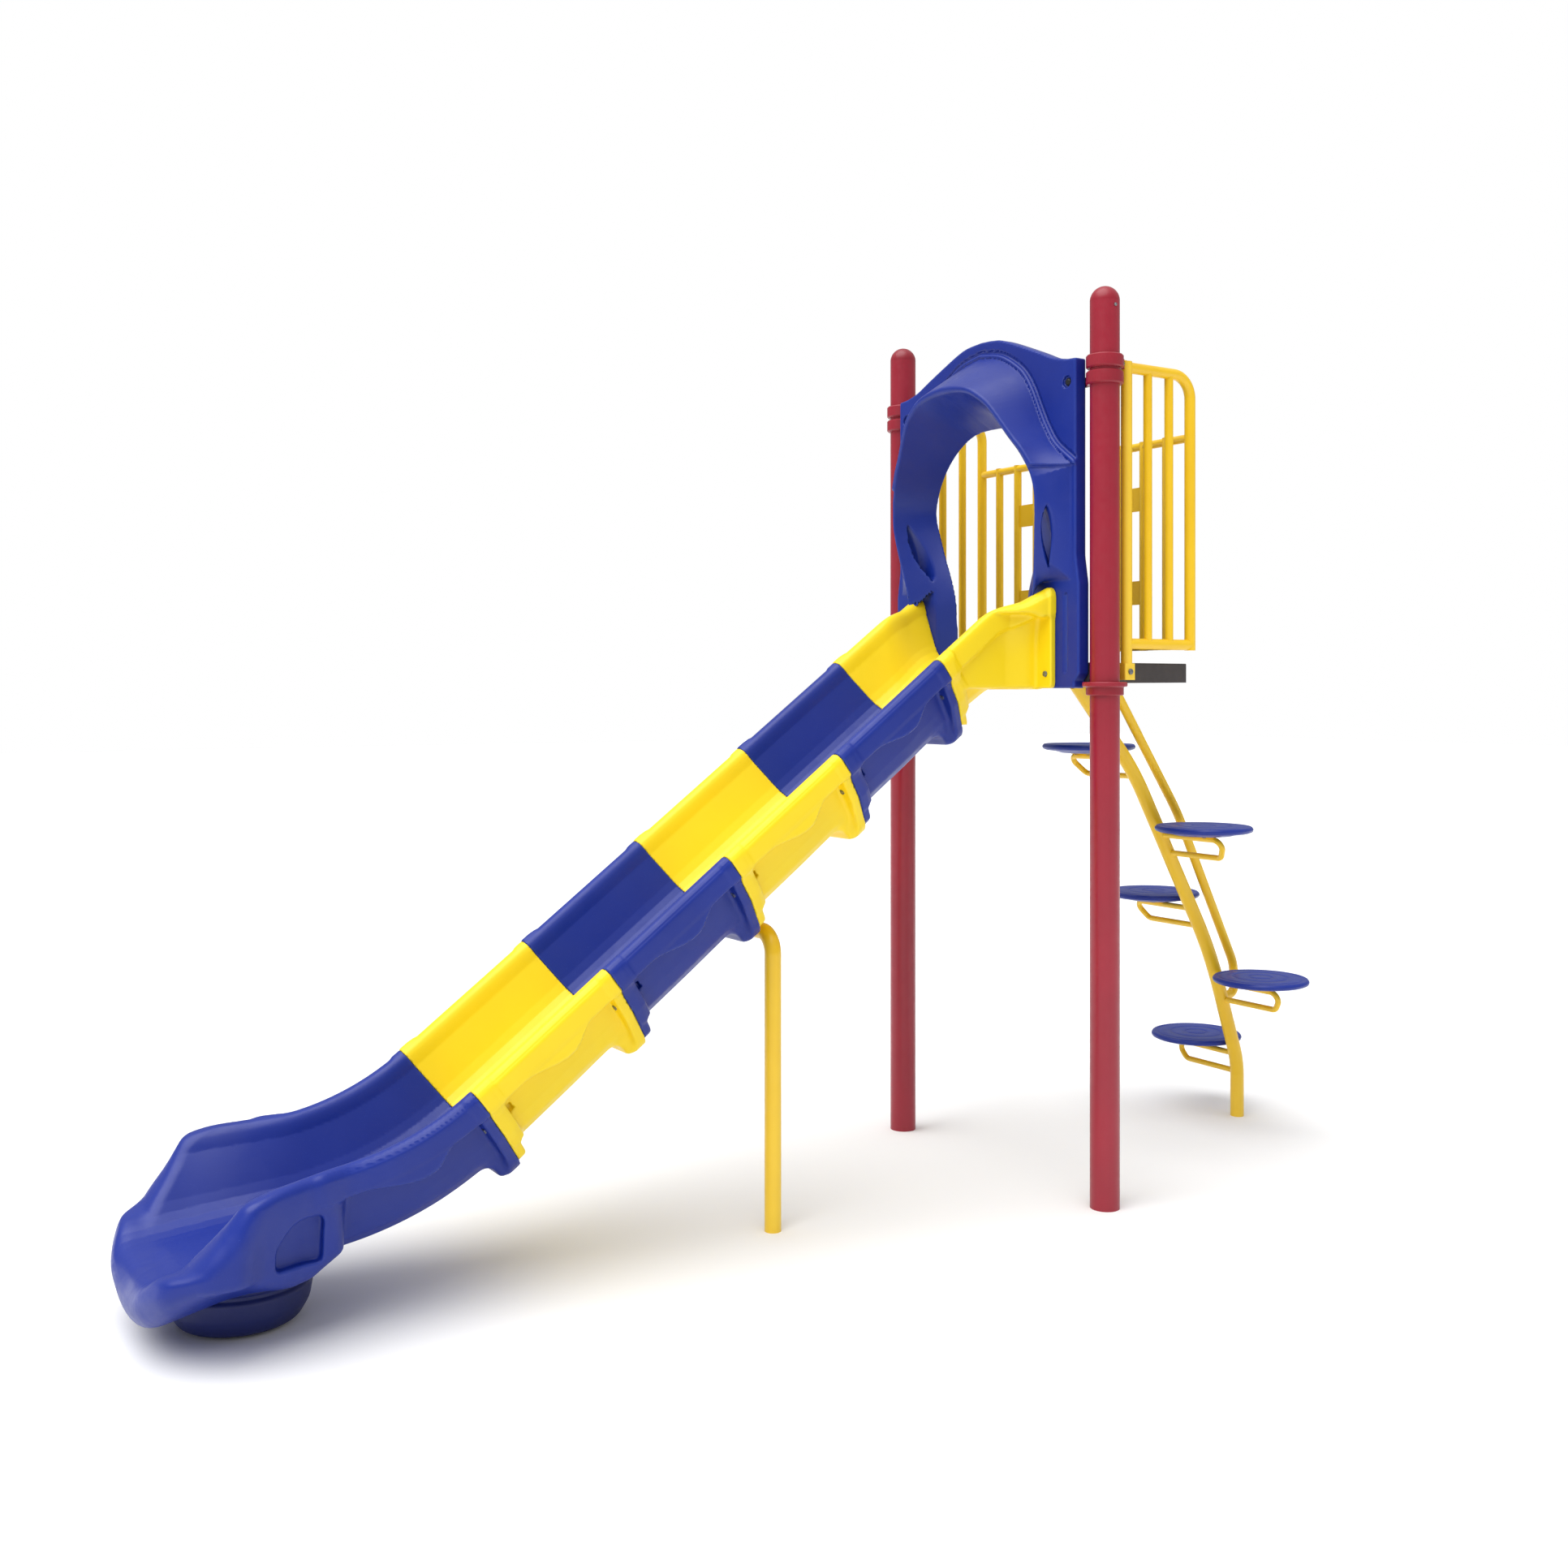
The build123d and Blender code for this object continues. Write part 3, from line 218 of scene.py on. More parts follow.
def add_mesh(name, points, faces, material, normals=None):
    """A new object from points in millimetres, riding on the object's one body."""
    mesh = bpy.data.meshes.new(name)
    placed = np.array(points, float) * MM + np.array([post_x, 0, 0])
    mesh.from_pydata(placed.tolist(), [], [list(map(int, f)) for f in faces])
    mesh.update()
    for polygon in mesh.polygons:
        polygon.use_smooth = True
    if normals is not None:
        mesh.normals_split_custom_set_from_vertices(np.array(normals, float).tolist())
    piece = bpy.data.objects.new(name, mesh)
    bpy.context.scene.collection.objects.link(piece)
    mesh.materials.append(material)
    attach(piece, "root")
    return piece


# ---- materials ----
def rgb(red, green, blue):
    """Linear colour from the 0-255 values of a screen colour."""
    return tuple((c / 255 / 12.92 if c < 10.3 else ((c / 255 + 0.055) / 1.055) ** 2.4)
                 for c in (red, green, blue)) + (1.0,)


class Maker:
    """Short forms for building a material's nodes."""

    def __init__(self, name):
        self.material = bpy.data.materials.new(name)
        self.material.use_nodes = True
        self.tree = self.material.node_tree
        self.shader = self.tree.nodes["Principled BSDF"]
        self.place = self.node("ShaderNodeTexCoord").outputs["Object"]

    def node(self, kind, **settings):
        made = self.tree.nodes.new(kind)
        for key, value in settings.items():
            setattr(made, key, value)
        return made

    def link(self, source, target):
        self.tree.links.new(source, target)

    def noise(self, scale, detail=3.0, roughness=0.5, distortion=0.0):
        made = self.node("ShaderNodeTexNoise")
        self.link(self.place, made.inputs["Vector"])
        made.inputs["Scale"].default_value = scale
        made.inputs["Detail"].default_value = detail
        made.inputs["Roughness"].default_value = roughness
        made.inputs["Distortion"].default_value = distortion
        return made.outputs["Fac"]

    def span(self, value, low_in, high_in, low_out, high_out):
        made = self.node("ShaderNodeMapRange")
        self.link(value, made.inputs["Value"])
        for key, number in zip(("From Min", "From Max", "To Min", "To Max"),
                               (low_in, high_in, low_out, high_out)):
            made.inputs[key].default_value = number
        return made.outputs["Result"]

    def mix(self, share, first, second):
        made = self.node("ShaderNodeMix", data_type="RGBA")
        self.link(share, made.inputs["Factor"])
        for key, value in ((6, first), (7, second)):
            if isinstance(value, tuple):
                made.inputs[key].default_value = value
            else:
                self.link(value, made.inputs[key])
        return made.outputs[2]

    def bump(self, height, strength, distance, below=None):
        made = self.node("ShaderNodeBump")
        made.inputs["Strength"].default_value = strength
        made.inputs["Distance"].default_value = distance
        self.link(height, made.inputs["Height"])
        if below is not None:
            self.link(below, made.inputs["Normal"])
        return made.outputs["Normal"]

    def edges(self, low, high):
        """0 on flats to 1 on convex edges."""
        pointed = self.node("ShaderNodeNewGeometry").outputs["Pointiness"]
        return self.span(pointed, low, high, 0.0, 1.0)


def moulded_plastic(name, base, deep, pale, rough=0.36):
    """Moulded polyethylene: fine mould grain, soft waviness, faint scuffs, paler edges."""
    m = Maker(name)
    cloud = m.span(m.noise(2.2, 4.0, 0.55), 0.3, 0.7, 0.0, 1.0)
    body = m.mix(cloud, base, deep)
    speck = m.span(m.noise(420.0, 2.0, 0.6), 0.66, 0.74, 0.0, 0.35)
    body = m.mix(speck, body, pale)
    worn = m.edges(0.52, 0.62)
    body = m.mix(m.span(worn, 0.0, 1.0, 0.0, 0.35), body, pale)
    m.link(body, m.shader.inputs["Base Color"])
    scuff = m.noise(14.0, 6.0, 0.7, 0.6)
    m.link(m.span(scuff, 0.35, 0.7, rough - 0.04, rough + 0.12), m.shader.inputs["Roughness"])
    wave = m.bump(m.noise(9.0, 2.0, 0.4), 0.10, 0.004)
    m.link(m.bump(m.noise(900.0, 2.0, 0.5), 0.16, 0.0004, wave), m.shader.inputs["Normal"])
    m.shader.inputs["Specular IOR Level"].default_value = 0.4
    return m.material


def powder_coat(name, base, deep, pale, rough=0.34, peel=0.14):
    """Baked powder paint on steel: orange peel, slight unevenness, thinner and paler on edges."""
    m = Maker(name)
    body = m.mix(m.span(m.noise(5.0, 3.0, 0.5), 0.35, 0.65, 0.0, 1.0), base, deep)
    worn = m.span(m.edges(0.53, 0.64), 0.0, 1.0, 0.0, 0.4)
    body = m.mix(worn, body, pale)
    m.link(body, m.shader.inputs["Base Color"])
    m.link(m.span(m.noise(40.0, 4.0, 0.6), 0.3, 0.7, rough - 0.05, rough + 0.08),
           m.shader.inputs["Roughness"])
    m.link(m.bump(m.noise(520.0, 2.0, 0.45), peel, 0.0005), m.shader.inputs["Normal"])
    m.shader.inputs["Coat Weight"].default_value = 0.08
    m.shader.inputs["Coat Roughness"].default_value = 0.2
    return m.material


def zinc_plate(name):
    """Galvanised bolts: dull grey with spangle and a few dark streaks."""
    m = Maker(name)
    spangle = m.span(m.noise(160.0, 3.0, 0.6), 0.35, 0.65, 0.0, 1.0)
    body = m.mix(spangle, rgb(150, 152, 155), rgb(98, 100, 104))
    m.link(body, m.shader.inputs["Base Color"])
    m.shader.inputs["Metallic"].default_value = 0.9
    m.link(m.span(m.noise(220.0, 2.0, 0.5), 0.3, 0.7, 0.34, 0.55), m.shader.inputs["Roughness"])
    m.link(m.bump(m.noise(600.0, 2.0, 0.5), 0.15, 0.0003), m.shader.inputs["Normal"])
    return m.material


blue = moulded_plastic("blue_plastic", rgb(16, 44, 142), rgb(13, 38, 130), rgb(60, 88, 180))
yellow = moulded_plastic("yellow_plastic", rgb(250, 220, 22), rgb(245, 212, 14), rgb(255, 238, 96))
# The exit foot is the same blue plastic as the slide; its colour is darkened here as painted shade,
# for the shadow it sits in.
shaded_blue = moulded_plastic("boot_blue_painted_shade", rgb(22, 34, 98), rgb(18, 28, 84), rgb(52, 64, 130), 0.5)
red = powder_coat("red_paint", rgb(140, 11, 34), rgb(130, 9, 30), rgb(172, 40, 62))
red_cast = powder_coat("red_cast", rgb(148, 13, 38), rgb(134, 10, 32), rgb(180, 46, 68), 0.4, 0.3)
yellow_pipe = powder_coat("yellow_paint", rgb(242, 198, 26), rgb(236, 190, 18), rgb(255, 222, 90))
deck_coat = powder_coat("deck_coating", rgb(60, 54, 54), rgb(50, 45, 45), rgb(84, 78, 78), 0.6, 0.5)
black_plastic = moulded_plastic("dark_moulding", rgb(24, 25, 30), rgb(18, 19, 23), rgb(52, 54, 60),
                                0.5)
zinc = zinc_plate("zinc_steel")

paint_of = {
    "post": red, "post_cap": red_cast, "deck_collar": red_cast, "guard_clamp": red_cast,
    "hood_clamp": red_cast, "hood_strap": black_plastic, "deck_platform": deck_coat,
    "deck_joist_front": deck_coat, "deck_joist_back": deck_coat, "deck_saddle": deck_coat,
    "support_leg": yellow_pipe, "leg_bracket": yellow_pipe, "side_guard": yellow_pipe,
    "entry_guard": yellow_pipe, "guard_bracket": yellow_pipe, "climber_pole": yellow_pipe,
    "climber_rail": yellow_pipe, "climber_top_plate": yellow_pipe, "step_bracket": yellow_pipe,
}


def family(name):
    """A node's name without its side or number."""
    stem, _, tail = name.rpartition("_")
    return stem if tail in ("left", "right") or tail.isdigit() else name


for name, node in nodes.items():
    node.data.materials.clear()
    node.data.materials.append(paint_of.get(family(name), zinc))


# ---- slide profiles: side is measured from the middle plane, depth from the rails' crest ----
rail_roll = flowing([(272, -4), (262, 0.5), (251, 6), (243, 17), (238, 32), (234, 50)])
trough = outline([(-150, -120), (320, -120), (320, -4)] + rail_roll
                 + [(bed_half, bed_depth, 100), (-150, bed_depth)])
body_top = [(-150, 0), (293, 0, 30), (291, 70, 8)]
body = outline(body_top + [(250, 74, 12), (238, 120, 30), (226, 160, 40), (208, 200, 40),
                           (170, 231, 30), (-150, 231)])
deep_body = outline(body_top + [(238, 78, 14), (226, 120, 30), (215, 160, 40), (201, 200, 40),
                                (168, 231, 30), (-150, 231)])
flange_face = outline([(-150, 0), (293, 0, 30), (291, 62, 40), (272, 99, 40), (255, 160, 40),
                       (200, 262, 40), (168, 279, 22), (-150, 279)])
pad_face = outline([(-150, 190), (182, 190), (182, 284, 26), (-150, 284)])
plain_stretch = 400.0           # past this distance from a joint a channel's profile is constant


def channel(side, depth, along):
    """Trough wall, rails and skirts; the wall is set in deeper behind an upper flange.

    along is measured from the piece's upper joint.
    """
    deep = 1 - ease(90, 250, along)
    solid = deep_body(side, depth) * deep + body(side, depth) * (1 - deep)
    skirt_low = 72 + 36 * ease(100, 190, along) * (1 - ease(205, 350, along))
    skirt = meet(slab(side, 277, 291), slab(depth, 20, skirt_low), 6)
    return join(solid, skirt, 8)


def flanges(along, side, depth, solid, upper):
    """Adds a joint's flange and foot pad or cheek; along is measured into the piece."""
    thick = meet(flange_face(side, depth), along - flange - 3, 9)
    solid = join(solid, thick, 14)
    if upper:
        pad = meet(pad_face(side, depth), along - pad_length - 4, 16)
        return join(solid, pad, 36)
    cheek = meet(meet(flange_face(side, depth), along - cheek_length, 8), depth - cheek_depth, 8)
    return join(solid, cheek, 16)


def bolt_pockets(along, side, depth, solid):
    """Clear round pockets in front of the bolt heads at a lower flange."""
    for across, deep in joint_bolts:
        hole = np.hypot(side - across, depth - deep) - pocket_r
        solid = carve(solid, meet(hole, slab(along, flange + 3, 64), 3), 3)
    return solid


def section_field(along, y, depth):
    side = np.abs(y)
    solid = channel(side, depth, along)
    solid = flanges(along, side, depth, solid, True)
    solid = flanges(pitch - along, side, depth, solid, False)
    solid = bolt_pockets(pitch - along, side, depth, solid)
    solid = carve(solid, trough(side, depth), bed_edge)
    return meet(solid, slab(along, 0, pitch), seam)


def sloped(points, normals, index):
    """From (along, y, depth) of one section to the object's x, y, z."""
    turn = np.array([[-run, 0, rise], [0, 1, 0], [-rise, 0, -run]])
    crest = np.array([joint_a[0] - run * pitch * index, 0, joint_a[1] - rise * pitch * index])
    return points @ turn.T + crest, normals @ turn.T


mesh_step = 6.0
section = skin(section_field, (-15, -315, -20), (pitch + 15, 315, 310), mesh_step)
for index in range(section_count):
    name = "slide_section_" + str(index + 1)
    points, normals = sloped(section[0], section[2], index)
    piece = add_mesh("moulded_" + name, points, section[1], (blue, yellow)[index % 2], normals)
    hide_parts(name)

# ---- slide start: up from the first joint, over to the level, and out to the hood ----
bed_a = (joint_a[0] + rise * bed_depth, joint_a[1] - run * bed_depth)
bend_start = (bed_a[0] + run * start_run, bed_a[1] + rise * start_run)
bend_centre = (bend_start[0] + rise * start_bend_r, bend_start[1] - run * start_bend_r)
start_bed_z = bend_centre[1] + start_bend_r
panel_side = outline([(hood_front, hood_low), (-350, hood_low, 12), (-398, 1618, 12),
                      (-288, 1722), (-183, 1780), (hood_front, 1812)])
start_flare = 0.236             # the start widens by this share towards the hood
panel_half, panel_spread = 266.0, 26.0
plate_front = -81.0             # the plate that is bolted to the hood, from here to the hood
dish_half = 286.0               # the side panel's scooped face
tongue_half, tongue_back, tongue_thick = 190.0, -16.0, 14.0
end_plate = outline([(-150, hood_low), (360, hood_low, 14), (360, 1874, 26), (-150, 1874)])


def start_depth(x, z):
    """Distance up the slide from the first joint, and depth below the rails' crest."""
    back = (x - joint_a[0]) * run + (z - joint_a[1]) * rise
    straight = (x - joint_a[0]) * rise - (z - joint_a[1]) * run
    out_x, out_z = x - bend_centre[0], z - bend_centre[1]
    curved = start_bend_r + bed_depth - np.hypot(out_x, out_z)
    level = start_bed_z + bed_depth - z
    depth = np.where(back < start_run, straight, np.where(out_x < 0, curved, level))
    lift = -7 * ease(-260, -161, x) + 30 * ease(-165, hood_front, x)
    return back, np.where(depth < bed_depth, bed_depth - (bed_depth - depth) * bed_depth
                          / (bed_depth + lift), depth)


def start_field(x, y, z):
    back, depth = start_depth(x, z)
    side = np.abs(y)
    flare = 1 + start_flare * ease(-280, hood_front, x)
    solid = channel(side / flare, depth, plain_stretch)
    panel = meet(side - panel_half - panel_spread * ease(-190, -95, x), panel_side(x, z), 8)
    solid = join(solid, panel, 14)
    plate = meet(slab(x, plate_front, hood_front), end_plate(side, z), 3)
    solid = join(solid, plate, 14)
    dish = meet(slab(x, -400, -96), slab(z, 1584, 1790), 60)
    dish = meet(dish, dish_half - side + 0.5 * np.maximum(x + 180, 0), 10)
    solid = carve(solid, dish, 12)
    hollow = meet(meet(slab(side, -400, 222), slab(x, -330, -90), 20), bed_depth + 28 - depth, 12)
    solid = carve(solid, meet(hollow, 60 - back, 20), 10)
    solid = flanges(back, side, depth, solid, False)
    solid = bolt_pockets(back, side, depth, solid)
    solid = carve(solid, trough(side / flare, depth), bed_edge)
    tongue = meet(slab(x, -75, tongue_back), side - tongue_half, 6)
    tongue = meet(tongue, slab(z, start_bed_z - tongue_thick, start_bed_z), 4)
    solid = meet(solid, x - hood_front, seam)
    solid = meet(solid, -back, seam)
    return join(solid, tongue, 2)


points, faces, normals = skin(start_field, (-600, -375, 1450), (0, 375, 1890), mesh_step)
piece = add_mesh("moulded_slide_start", points, faces, yellow, normals)
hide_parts("slide_start")

# ---- slide exit: a long run-out bend that flares into a deep rounded nose ----
joint_e = (joint_a[0] - run * pitch * section_count, joint_a[1] - rise * pitch * section_count)
bed_e = (joint_e[0] + rise * bed_depth, joint_e[1] - run * bed_depth)
exit_centre = (bed_e[0] - rise * exit_bend_r, bed_e[1] + run * exit_bend_r)
exit_rail_r = exit_bend_r - bed_depth
flat_tilt = slope - exit_turn
box_rear = -2223.0
nose_side = outline([(box_rear, 520), (box_rear, 188, 40), (-2300, 120, 60), (-2440, 88, 100),
                     (-2648, 42, 60), (-2699, 100, 60), (-2648, 176, 60), (-2590, 188, 40),
                     (-2520, 318, 70), (-2468, 398, 50), (-2330, 520)])
nose_plan = outline([(box_rear + 60, -500), (box_rear + 60, 292), (box_rear, 293, 80),
                     (-2330, 322, 90), (-2474, 372, 90), (-2556, 352, 110), (-2646, 278, 110),
                     (-2704, 160, 120), (-2712, -500)])
exit_flare = 0.315              # the exit widens by this share towards the nose
channel_end = -2300.0           # where the run of the channel ends inside the nose
wall_lean = 34.0                # the nose's side walls lean in by this much above the recess
bowl_half = 330.0               # the underside rises sideways as far as this
side_recess = outline([(-2284, 206, 16), (-2284, 322, 22), (-2356, 322, 60), (-2398, 262, 44),
                       (-2398, 206, 16)])


def exit_depth(x, z):
    """Distance down the exit from its joint, and depth below the crest."""
    first = -(x - joint_e[0]) * run - (z - joint_e[1]) * rise
    out_x, out_z = x - exit_centre[0], z - exit_centre[1]
    angle = np.arctan2(out_x, -out_z)
    curved = np.hypot(out_x, out_z) - exit_rail_r
    crest_x, crest_z = (exit_centre[0] + exit_rail_r * math.sin(flat_tilt),
                        exit_centre[1] - exit_rail_r * math.cos(flat_tilt))
    flat = (x - crest_x) * math.sin(flat_tilt) - (z - crest_z) * math.cos(flat_tilt)
    return first, np.where(angle < flat_tilt, flat, curved)


def exit_field(x, y, z):
    along, depth = exit_depth(x, z)
    side = np.abs(y)
    flare = 1 + exit_flare * ease(-2185, -2510, x)
    solid = meet(channel(side / flare, depth, along), channel_end - x, 30)
    bowl = (0.00055 + 0.00075 * ease(-2330, -2500, x)) * np.minimum(side, bowl_half) ** 2
    lean = wall_lean * (1 - ease(210, 370, z))
    lean = lean * ease(-2225, -2330, x) * (1 - ease(-2420, -2500, x))
    plan = nose_plan(x, side + lean)
    nose = meet(nose_side(x, z - bowl * (1 - ease(140, 330, z))), plan, 56)
    nose = meet(nose, -depth, 30)
    recess = meet(side_recess(x, z), -22 - plan, 8)
    nose = carve(nose, recess, 8)
    solid = join(solid, nose, 18)
    solid = flanges(along, side, depth, solid, True)
    inner_flare = 1 + (flare - 1) * (0.9 - 0.75 * np.clip(depth / bed_depth, 0, 1))
    solid = carve(solid, trough(side / inner_flare, depth), bed_edge + 22 * ease(-2380, -2480, x))
    return meet(solid, -along, seam)


points, faces, normals = skin(exit_field, (-2710, -400, 20), (-1720, 400, 600), mesh_step)
piece = add_mesh("moulded_slide_exit", points, faces, blue, normals)
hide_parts("slide_exit")


# ---- hood: a visor that leans further forward towards its top ----
hump = flowing([(0, 2689), (72, 2684), (125, 2670), (200, 2641), (285, 2606), (345, 2580),
                (400, 2566), (440, 2562)])
hood_panel = outline([(-150, 2689)] + hump + [(447, 2561), (447, 1965, 60), (461, 1880, 60),
                     (461, 1604, 10), (441, 1584, 6), (441, hood_low, 8), (-150, hood_low)])
ridge_line = flowing([(0, 2637), (70, 2626), (118, 2610), (176, 2576), (216, 2541), (252, 2488),
                      (287, 2418), (318, 2362), (360, 2305), (436, 2246)])
ridge = outline([(-150, 2637)] + ridge_line + [(440, 2236), (440, rim_low), (-150, rim_low)])
lip_line = flowing([(0, 2512), (60, 2509), (122, 2497), (170, 2472), (216, 2434), (284, 2340),
                    (326, 2284), (362, 2208), (370, 2119), (357, 2028), (340, 1937), (330, 1848)])
lip_half = 370                  # the widest point of the lip
lip_out, lip_up = 8, 12         # from the lip's middle line out to its crest
lip_in, lip_down = 9, 6         # and in to the mouth's edge
crest = outline([(-150, 2526)] + [(u + lip_out * u / lip_half, v + lip_up * (1 - u / lip_half))
                                  for u, v in lip_line] + [(338, 1600), (-150, 1600)])
mouth = outline([(-150, 2508)] + [(u - lip_in * u / lip_half, v - lip_down) for u, v in lip_line]
                + [(320, 1480), (-150, 1480)])
throat_line = flowing([(0, 2405), (80, 2398), (150, 2368), (214, 2318), (262, 2252), (288, 2180),
                       (286, 2135), (268, 2084), (238, 2007), (206, 1935), (180, 1855), (172, 1760)])
throat = outline([(-150, 2405)] + throat_line + [(172, 1480), (-150, 1480)])
lip_foot_x, lip_shoulder, lip_visor = -121, 30, 83      # the lip's foot, and its two steps forward
slot_low, slot_high, slot_half = 1926, 2118, 19
bead_r, groove_r, cap_pocket_r = 8, 5.5, 17
ridge_end = 2240                # below this height the ridge and its groove stop


def hood_field(x, y, z):
    """Panel, flared rim, ridge and hand slots; ridge to crest outside, mouth to throat inside."""
    side = np.abs(y)
    lip_x = lip_foot_x - lip_shoulder * ease(1848, 2150, z) - lip_visor * ease(2130, 2600, z)
    panel = meet(hood_panel(side, z), slab(x, hood_front, hood_back), 6)
    t = np.clip((hood_front - x) / (hood_front - lip_x), 0, 1)
    ridge_here = ridge(side, z)
    rim = ridge_here * (1 - t) + crest(side, z) * t + 12 * ease(2243, 2233, z)
    rim = meet(rim, np.maximum(lip_x - x, x - hood_back + 4), 8)
    solid = join(panel, rim, 5)
    bead = np.hypot(ridge_here - 4, x - hood_front + 1) - bead_r
    solid = join(solid, meet(bead, ridge_end - z, 8), 3)
    groove = np.hypot(ridge_here - 18, x - hood_front) - groove_r
    solid = carve(solid, meet(groove, ridge_end - z, 8), 3)
    t = np.clip((x - lip_x) / (hood_back - lip_x), 0, 1)
    funnel = mouth(side, z) * (1 - t) + throat(side, z) * t
    solid = carve(solid, funnel, 6)
    inward = 1 - ease(338, 386, side)
    slot_x = -118 + inward * (14 + 44 * np.clip((slot_high - z) / 174, 0, 1))
    slot = np.abs(x - slot_x) - slot_half * (1 - ((z - 2022) / 98) ** 2)
    solid = carve(solid, meet(slot, np.maximum(slab(z, slot_low, slot_high), 220 - side), 2), 6)
    pocket = np.hypot(side - hood_bolt[0], z - hood_bolt[1]) - cap_pocket_r
    solid = carve(solid, meet(pocket, x - hood_front - 9, 2), 3)
    rib = meet(meet(slab(side, 396, 408), slab(z, 1610, 1850), 6), x - hood_front - 5, 2)
    return carve(solid, rib, 4)


points, faces, normals = skin(hood_field, (-260, -480, 1540), (5, 480, 2710), mesh_step)
piece = add_mesh("moulded_hood", points, faces, blue, normals)
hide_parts("hood")


# ---- turned pieces ----
def lathe(corners, centre, axis, segments):
    """Closed turned solid from (radius, height) corners that start and end on the axis."""
    ring = rounded(corners)
    inner = [p for p in ring if p[0] > 1e-6]
    turns = np.linspace(0, 2 * math.pi, segments, endpoint=False)
    points = [(r * math.cos(t), r * math.sin(t), h) for r, h in inner for t in turns]
    points += [(0, 0, ring[0][1]), (0, 0, ring[-1][1])]
    first, last = len(points) - 2, len(points) - 1
    faces = []
    for i in range(len(inner) - 1):
        here, above = i * segments, (i + 1) * segments
        for j in range(segments):
            k = (j + 1) % segments
            faces.append((here + j, here + k, above + k, above + j))
    top = (len(inner) - 1) * segments
    for j in range(segments):
        k = (j + 1) % segments
        faces.append((first, k, j))
        faces.append((last, top + j, top + k))
    points = np.array(points, float)
    if axis == "-x":
        points = points @ np.array([[0, 0, -1], [0, 1, 0], [1, 0, 0]]).T
    return points + np.array(centre, float), faces


def add_lathe(name, corners, centres, material, axis="z", segments=96):
    """One object made of the same turned solid at each of the centres."""
    points, faces = [], []
    for centre in centres:
        more, more_faces = lathe(corners, centre, axis, segments)
        base = sum(len(p) for p in points)
        points.append(more)
        faces += [tuple(base + i for i in f) for f in more_faces]
    piece = add_mesh(name, np.concatenate(points), faces, material)
    piece.data.set_sharp_from_angle(angle=math.radians(38))
    return piece


foot_x = -2408.0
# The foot's darker blue is painted shade, not a different plastic.
boot = add_lathe("moulded_exit_foot",
                 [(0, 0), (112, 0, 10), (146, 12, 30), (168, 50, 60), (176, 96, 30), (168, 104, 4),
                  (168, 112, 4), (174, 118, 8), (171, 165, 10), (0, 165)],
                 [(foot_x, 0, 0)], shaded_blue, segments=128)
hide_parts("exit_foot")

step_top = 1.4                  # the profile's height at the step's middle, its highest point
step_profile = [(0, -32), (96, -32, 4), (118, -26, 10), (150, -22, 10), (162, -17, 5),
                (165, -9, 6), (159, 0, 7), (150, 0.5), (146, -2, 3), (141, -2, 3), (137, 0.5),
                (96, 1.0), (93, -1, 2), (89, -1, 2), (86, 1.0), (44, 1.2), (41, -1, 2),
                (37, -1, 2), (34, 1.2), (0, step_top)]
for index in range(1, 6):
    low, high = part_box("step_" + str(index))
    centre = (((low.x + high.x) / 2 - post_x) / MM, (low.y + high.y) / 2 / MM,
              high.z / MM - step_top)
    step = add_lathe("moulded_step_" + str(index), step_profile, [centre], blue)
    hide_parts("step_" + str(index))

caps = add_lathe("hood_bolt_caps", [(0, -6), (12, -6, 1), (12, 1, 3), (8, 5, 4), (0, 6)],
                 [(hood_front + 8, hood_bolt[0] * way, hood_bolt[1]) for way in (-1, 1)],
                 black_plastic, "-x", 32)
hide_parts("hood_bolts")

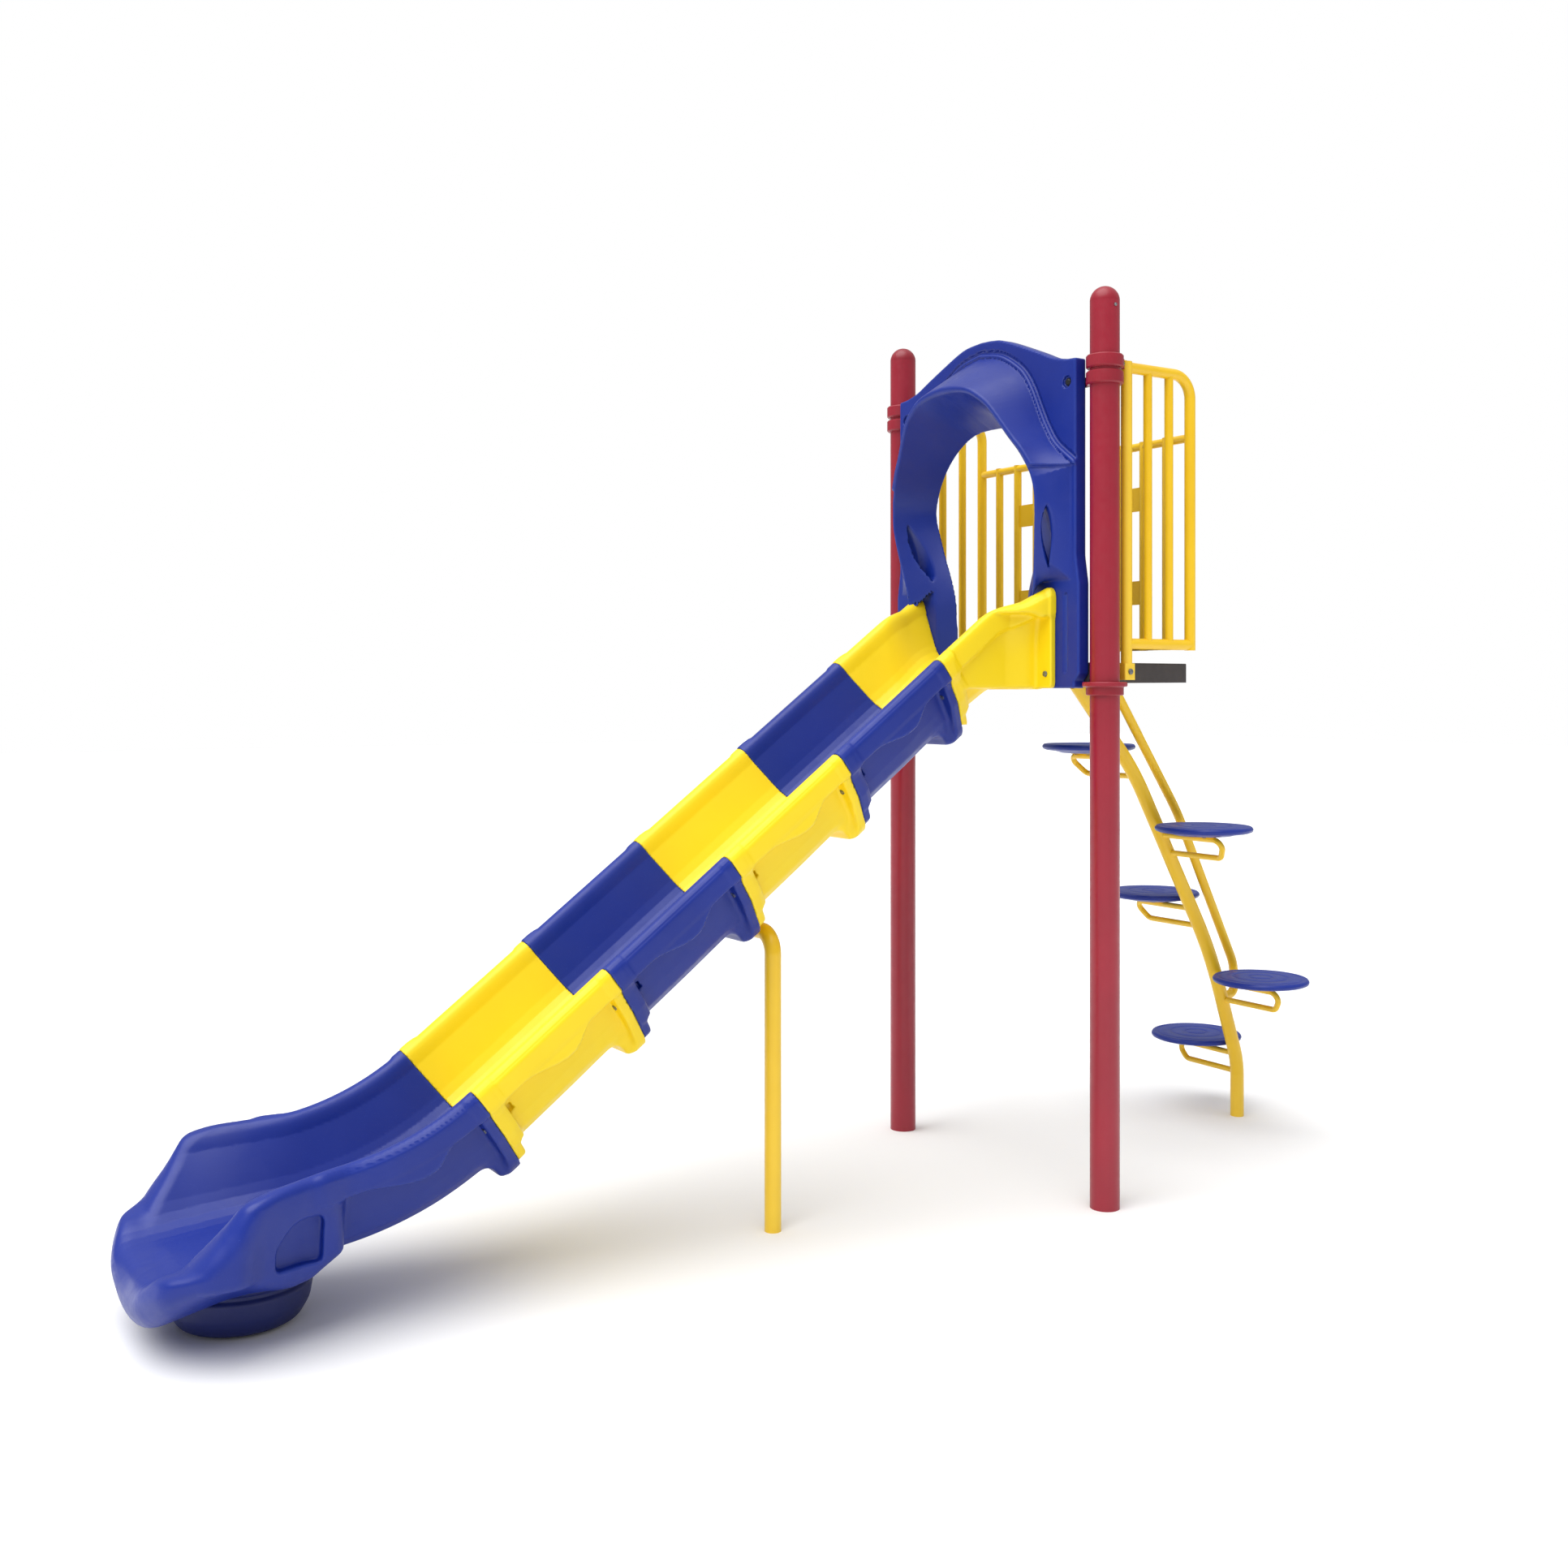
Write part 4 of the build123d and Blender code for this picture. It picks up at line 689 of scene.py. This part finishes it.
# ---- studio: a pale floor, a soft sky that is brighter overhead, and one broad key light ----
floor_mesh = bpy.data.meshes.new("floor")
reach = 40.0
corners = [(x * reach, y * reach, 0) for x, y in ((-1, -1), (1, -1), (1, 1), (-1, 1))]
floor_mesh.from_pydata(corners, [], [(0, 1, 2, 3)])
floor = bpy.data.objects.new("floor", floor_mesh)
bpy.context.scene.collection.objects.link(floor)
pale = Maker("studio_floor")
pale.link(pale.mix(pale.noise(0.8, 2.0), rgb(243, 243, 243), rgb(240, 240, 240)),
          pale.shader.inputs["Base Color"])
pale.shader.inputs["Roughness"].default_value = 0.9
floor_mesh.materials.append(pale.material)

world = bpy.data.worlds.new("studio")
bpy.context.scene.world = world
world.use_nodes = True
nodes_w, links_w = world.node_tree.nodes, world.node_tree.links
background = nodes_w["Background"]
place = nodes_w.new("ShaderNodeTexCoord")
height = nodes_w.new("ShaderNodeSeparateXYZ")
links_w.new(place.outputs["Generated"], height.inputs["Vector"])
ramp = nodes_w.new("ShaderNodeMapRange")
links_w.new(height.outputs["Z"], ramp.inputs["Value"])
for key, number in (("From Min", 0.0), ("From Max", 1.0), ("To Min", 0.26), ("To Max", 0.95)):
    ramp.inputs[key].default_value = number
path = nodes_w.new("ShaderNodeLightPath")      # the camera sees the sky as plain white
shown = nodes_w.new("ShaderNodeMix")
shown.data_type = "FLOAT"
links_w.new(path.outputs["Is Camera Ray"], shown.inputs["Factor"])
links_w.new(ramp.outputs["Result"], shown.inputs[2])
shown.inputs[3].default_value = 1.0
links_w.new(shown.outputs[0], background.inputs["Strength"])
background.inputs["Color"].default_value = (1, 1, 1, 1)

sun = bpy.data.lights.new("soft_key", "SUN")
sun.energy = 2.9
sun.angle = math.radians(66)
key = bpy.data.objects.new("soft_key", sun)
key.rotation_euler = (math.radians(5), math.radians(-25), 0)
bpy.context.scene.collection.objects.link(key)

camera = bpy.data.cameras.new("photo_view")
camera.lens = 36.33
camera.sensor_width = 36.0
camera.shift_y = -0.0584
camera.clip_end = 200
eye = bpy.data.objects.new("photo_view", camera)
eye.location = (post_x - 3.3456, -4.0294, 1.5490)      # solved from the photo's vanishing lines
eye.rotation_euler = (math.radians(90), 0, math.radians(-32.09))
bpy.context.scene.collection.objects.link(eye)
bpy.context.scene.camera = eye
bpy.context.scene.view_settings.view_transform = "Standard"
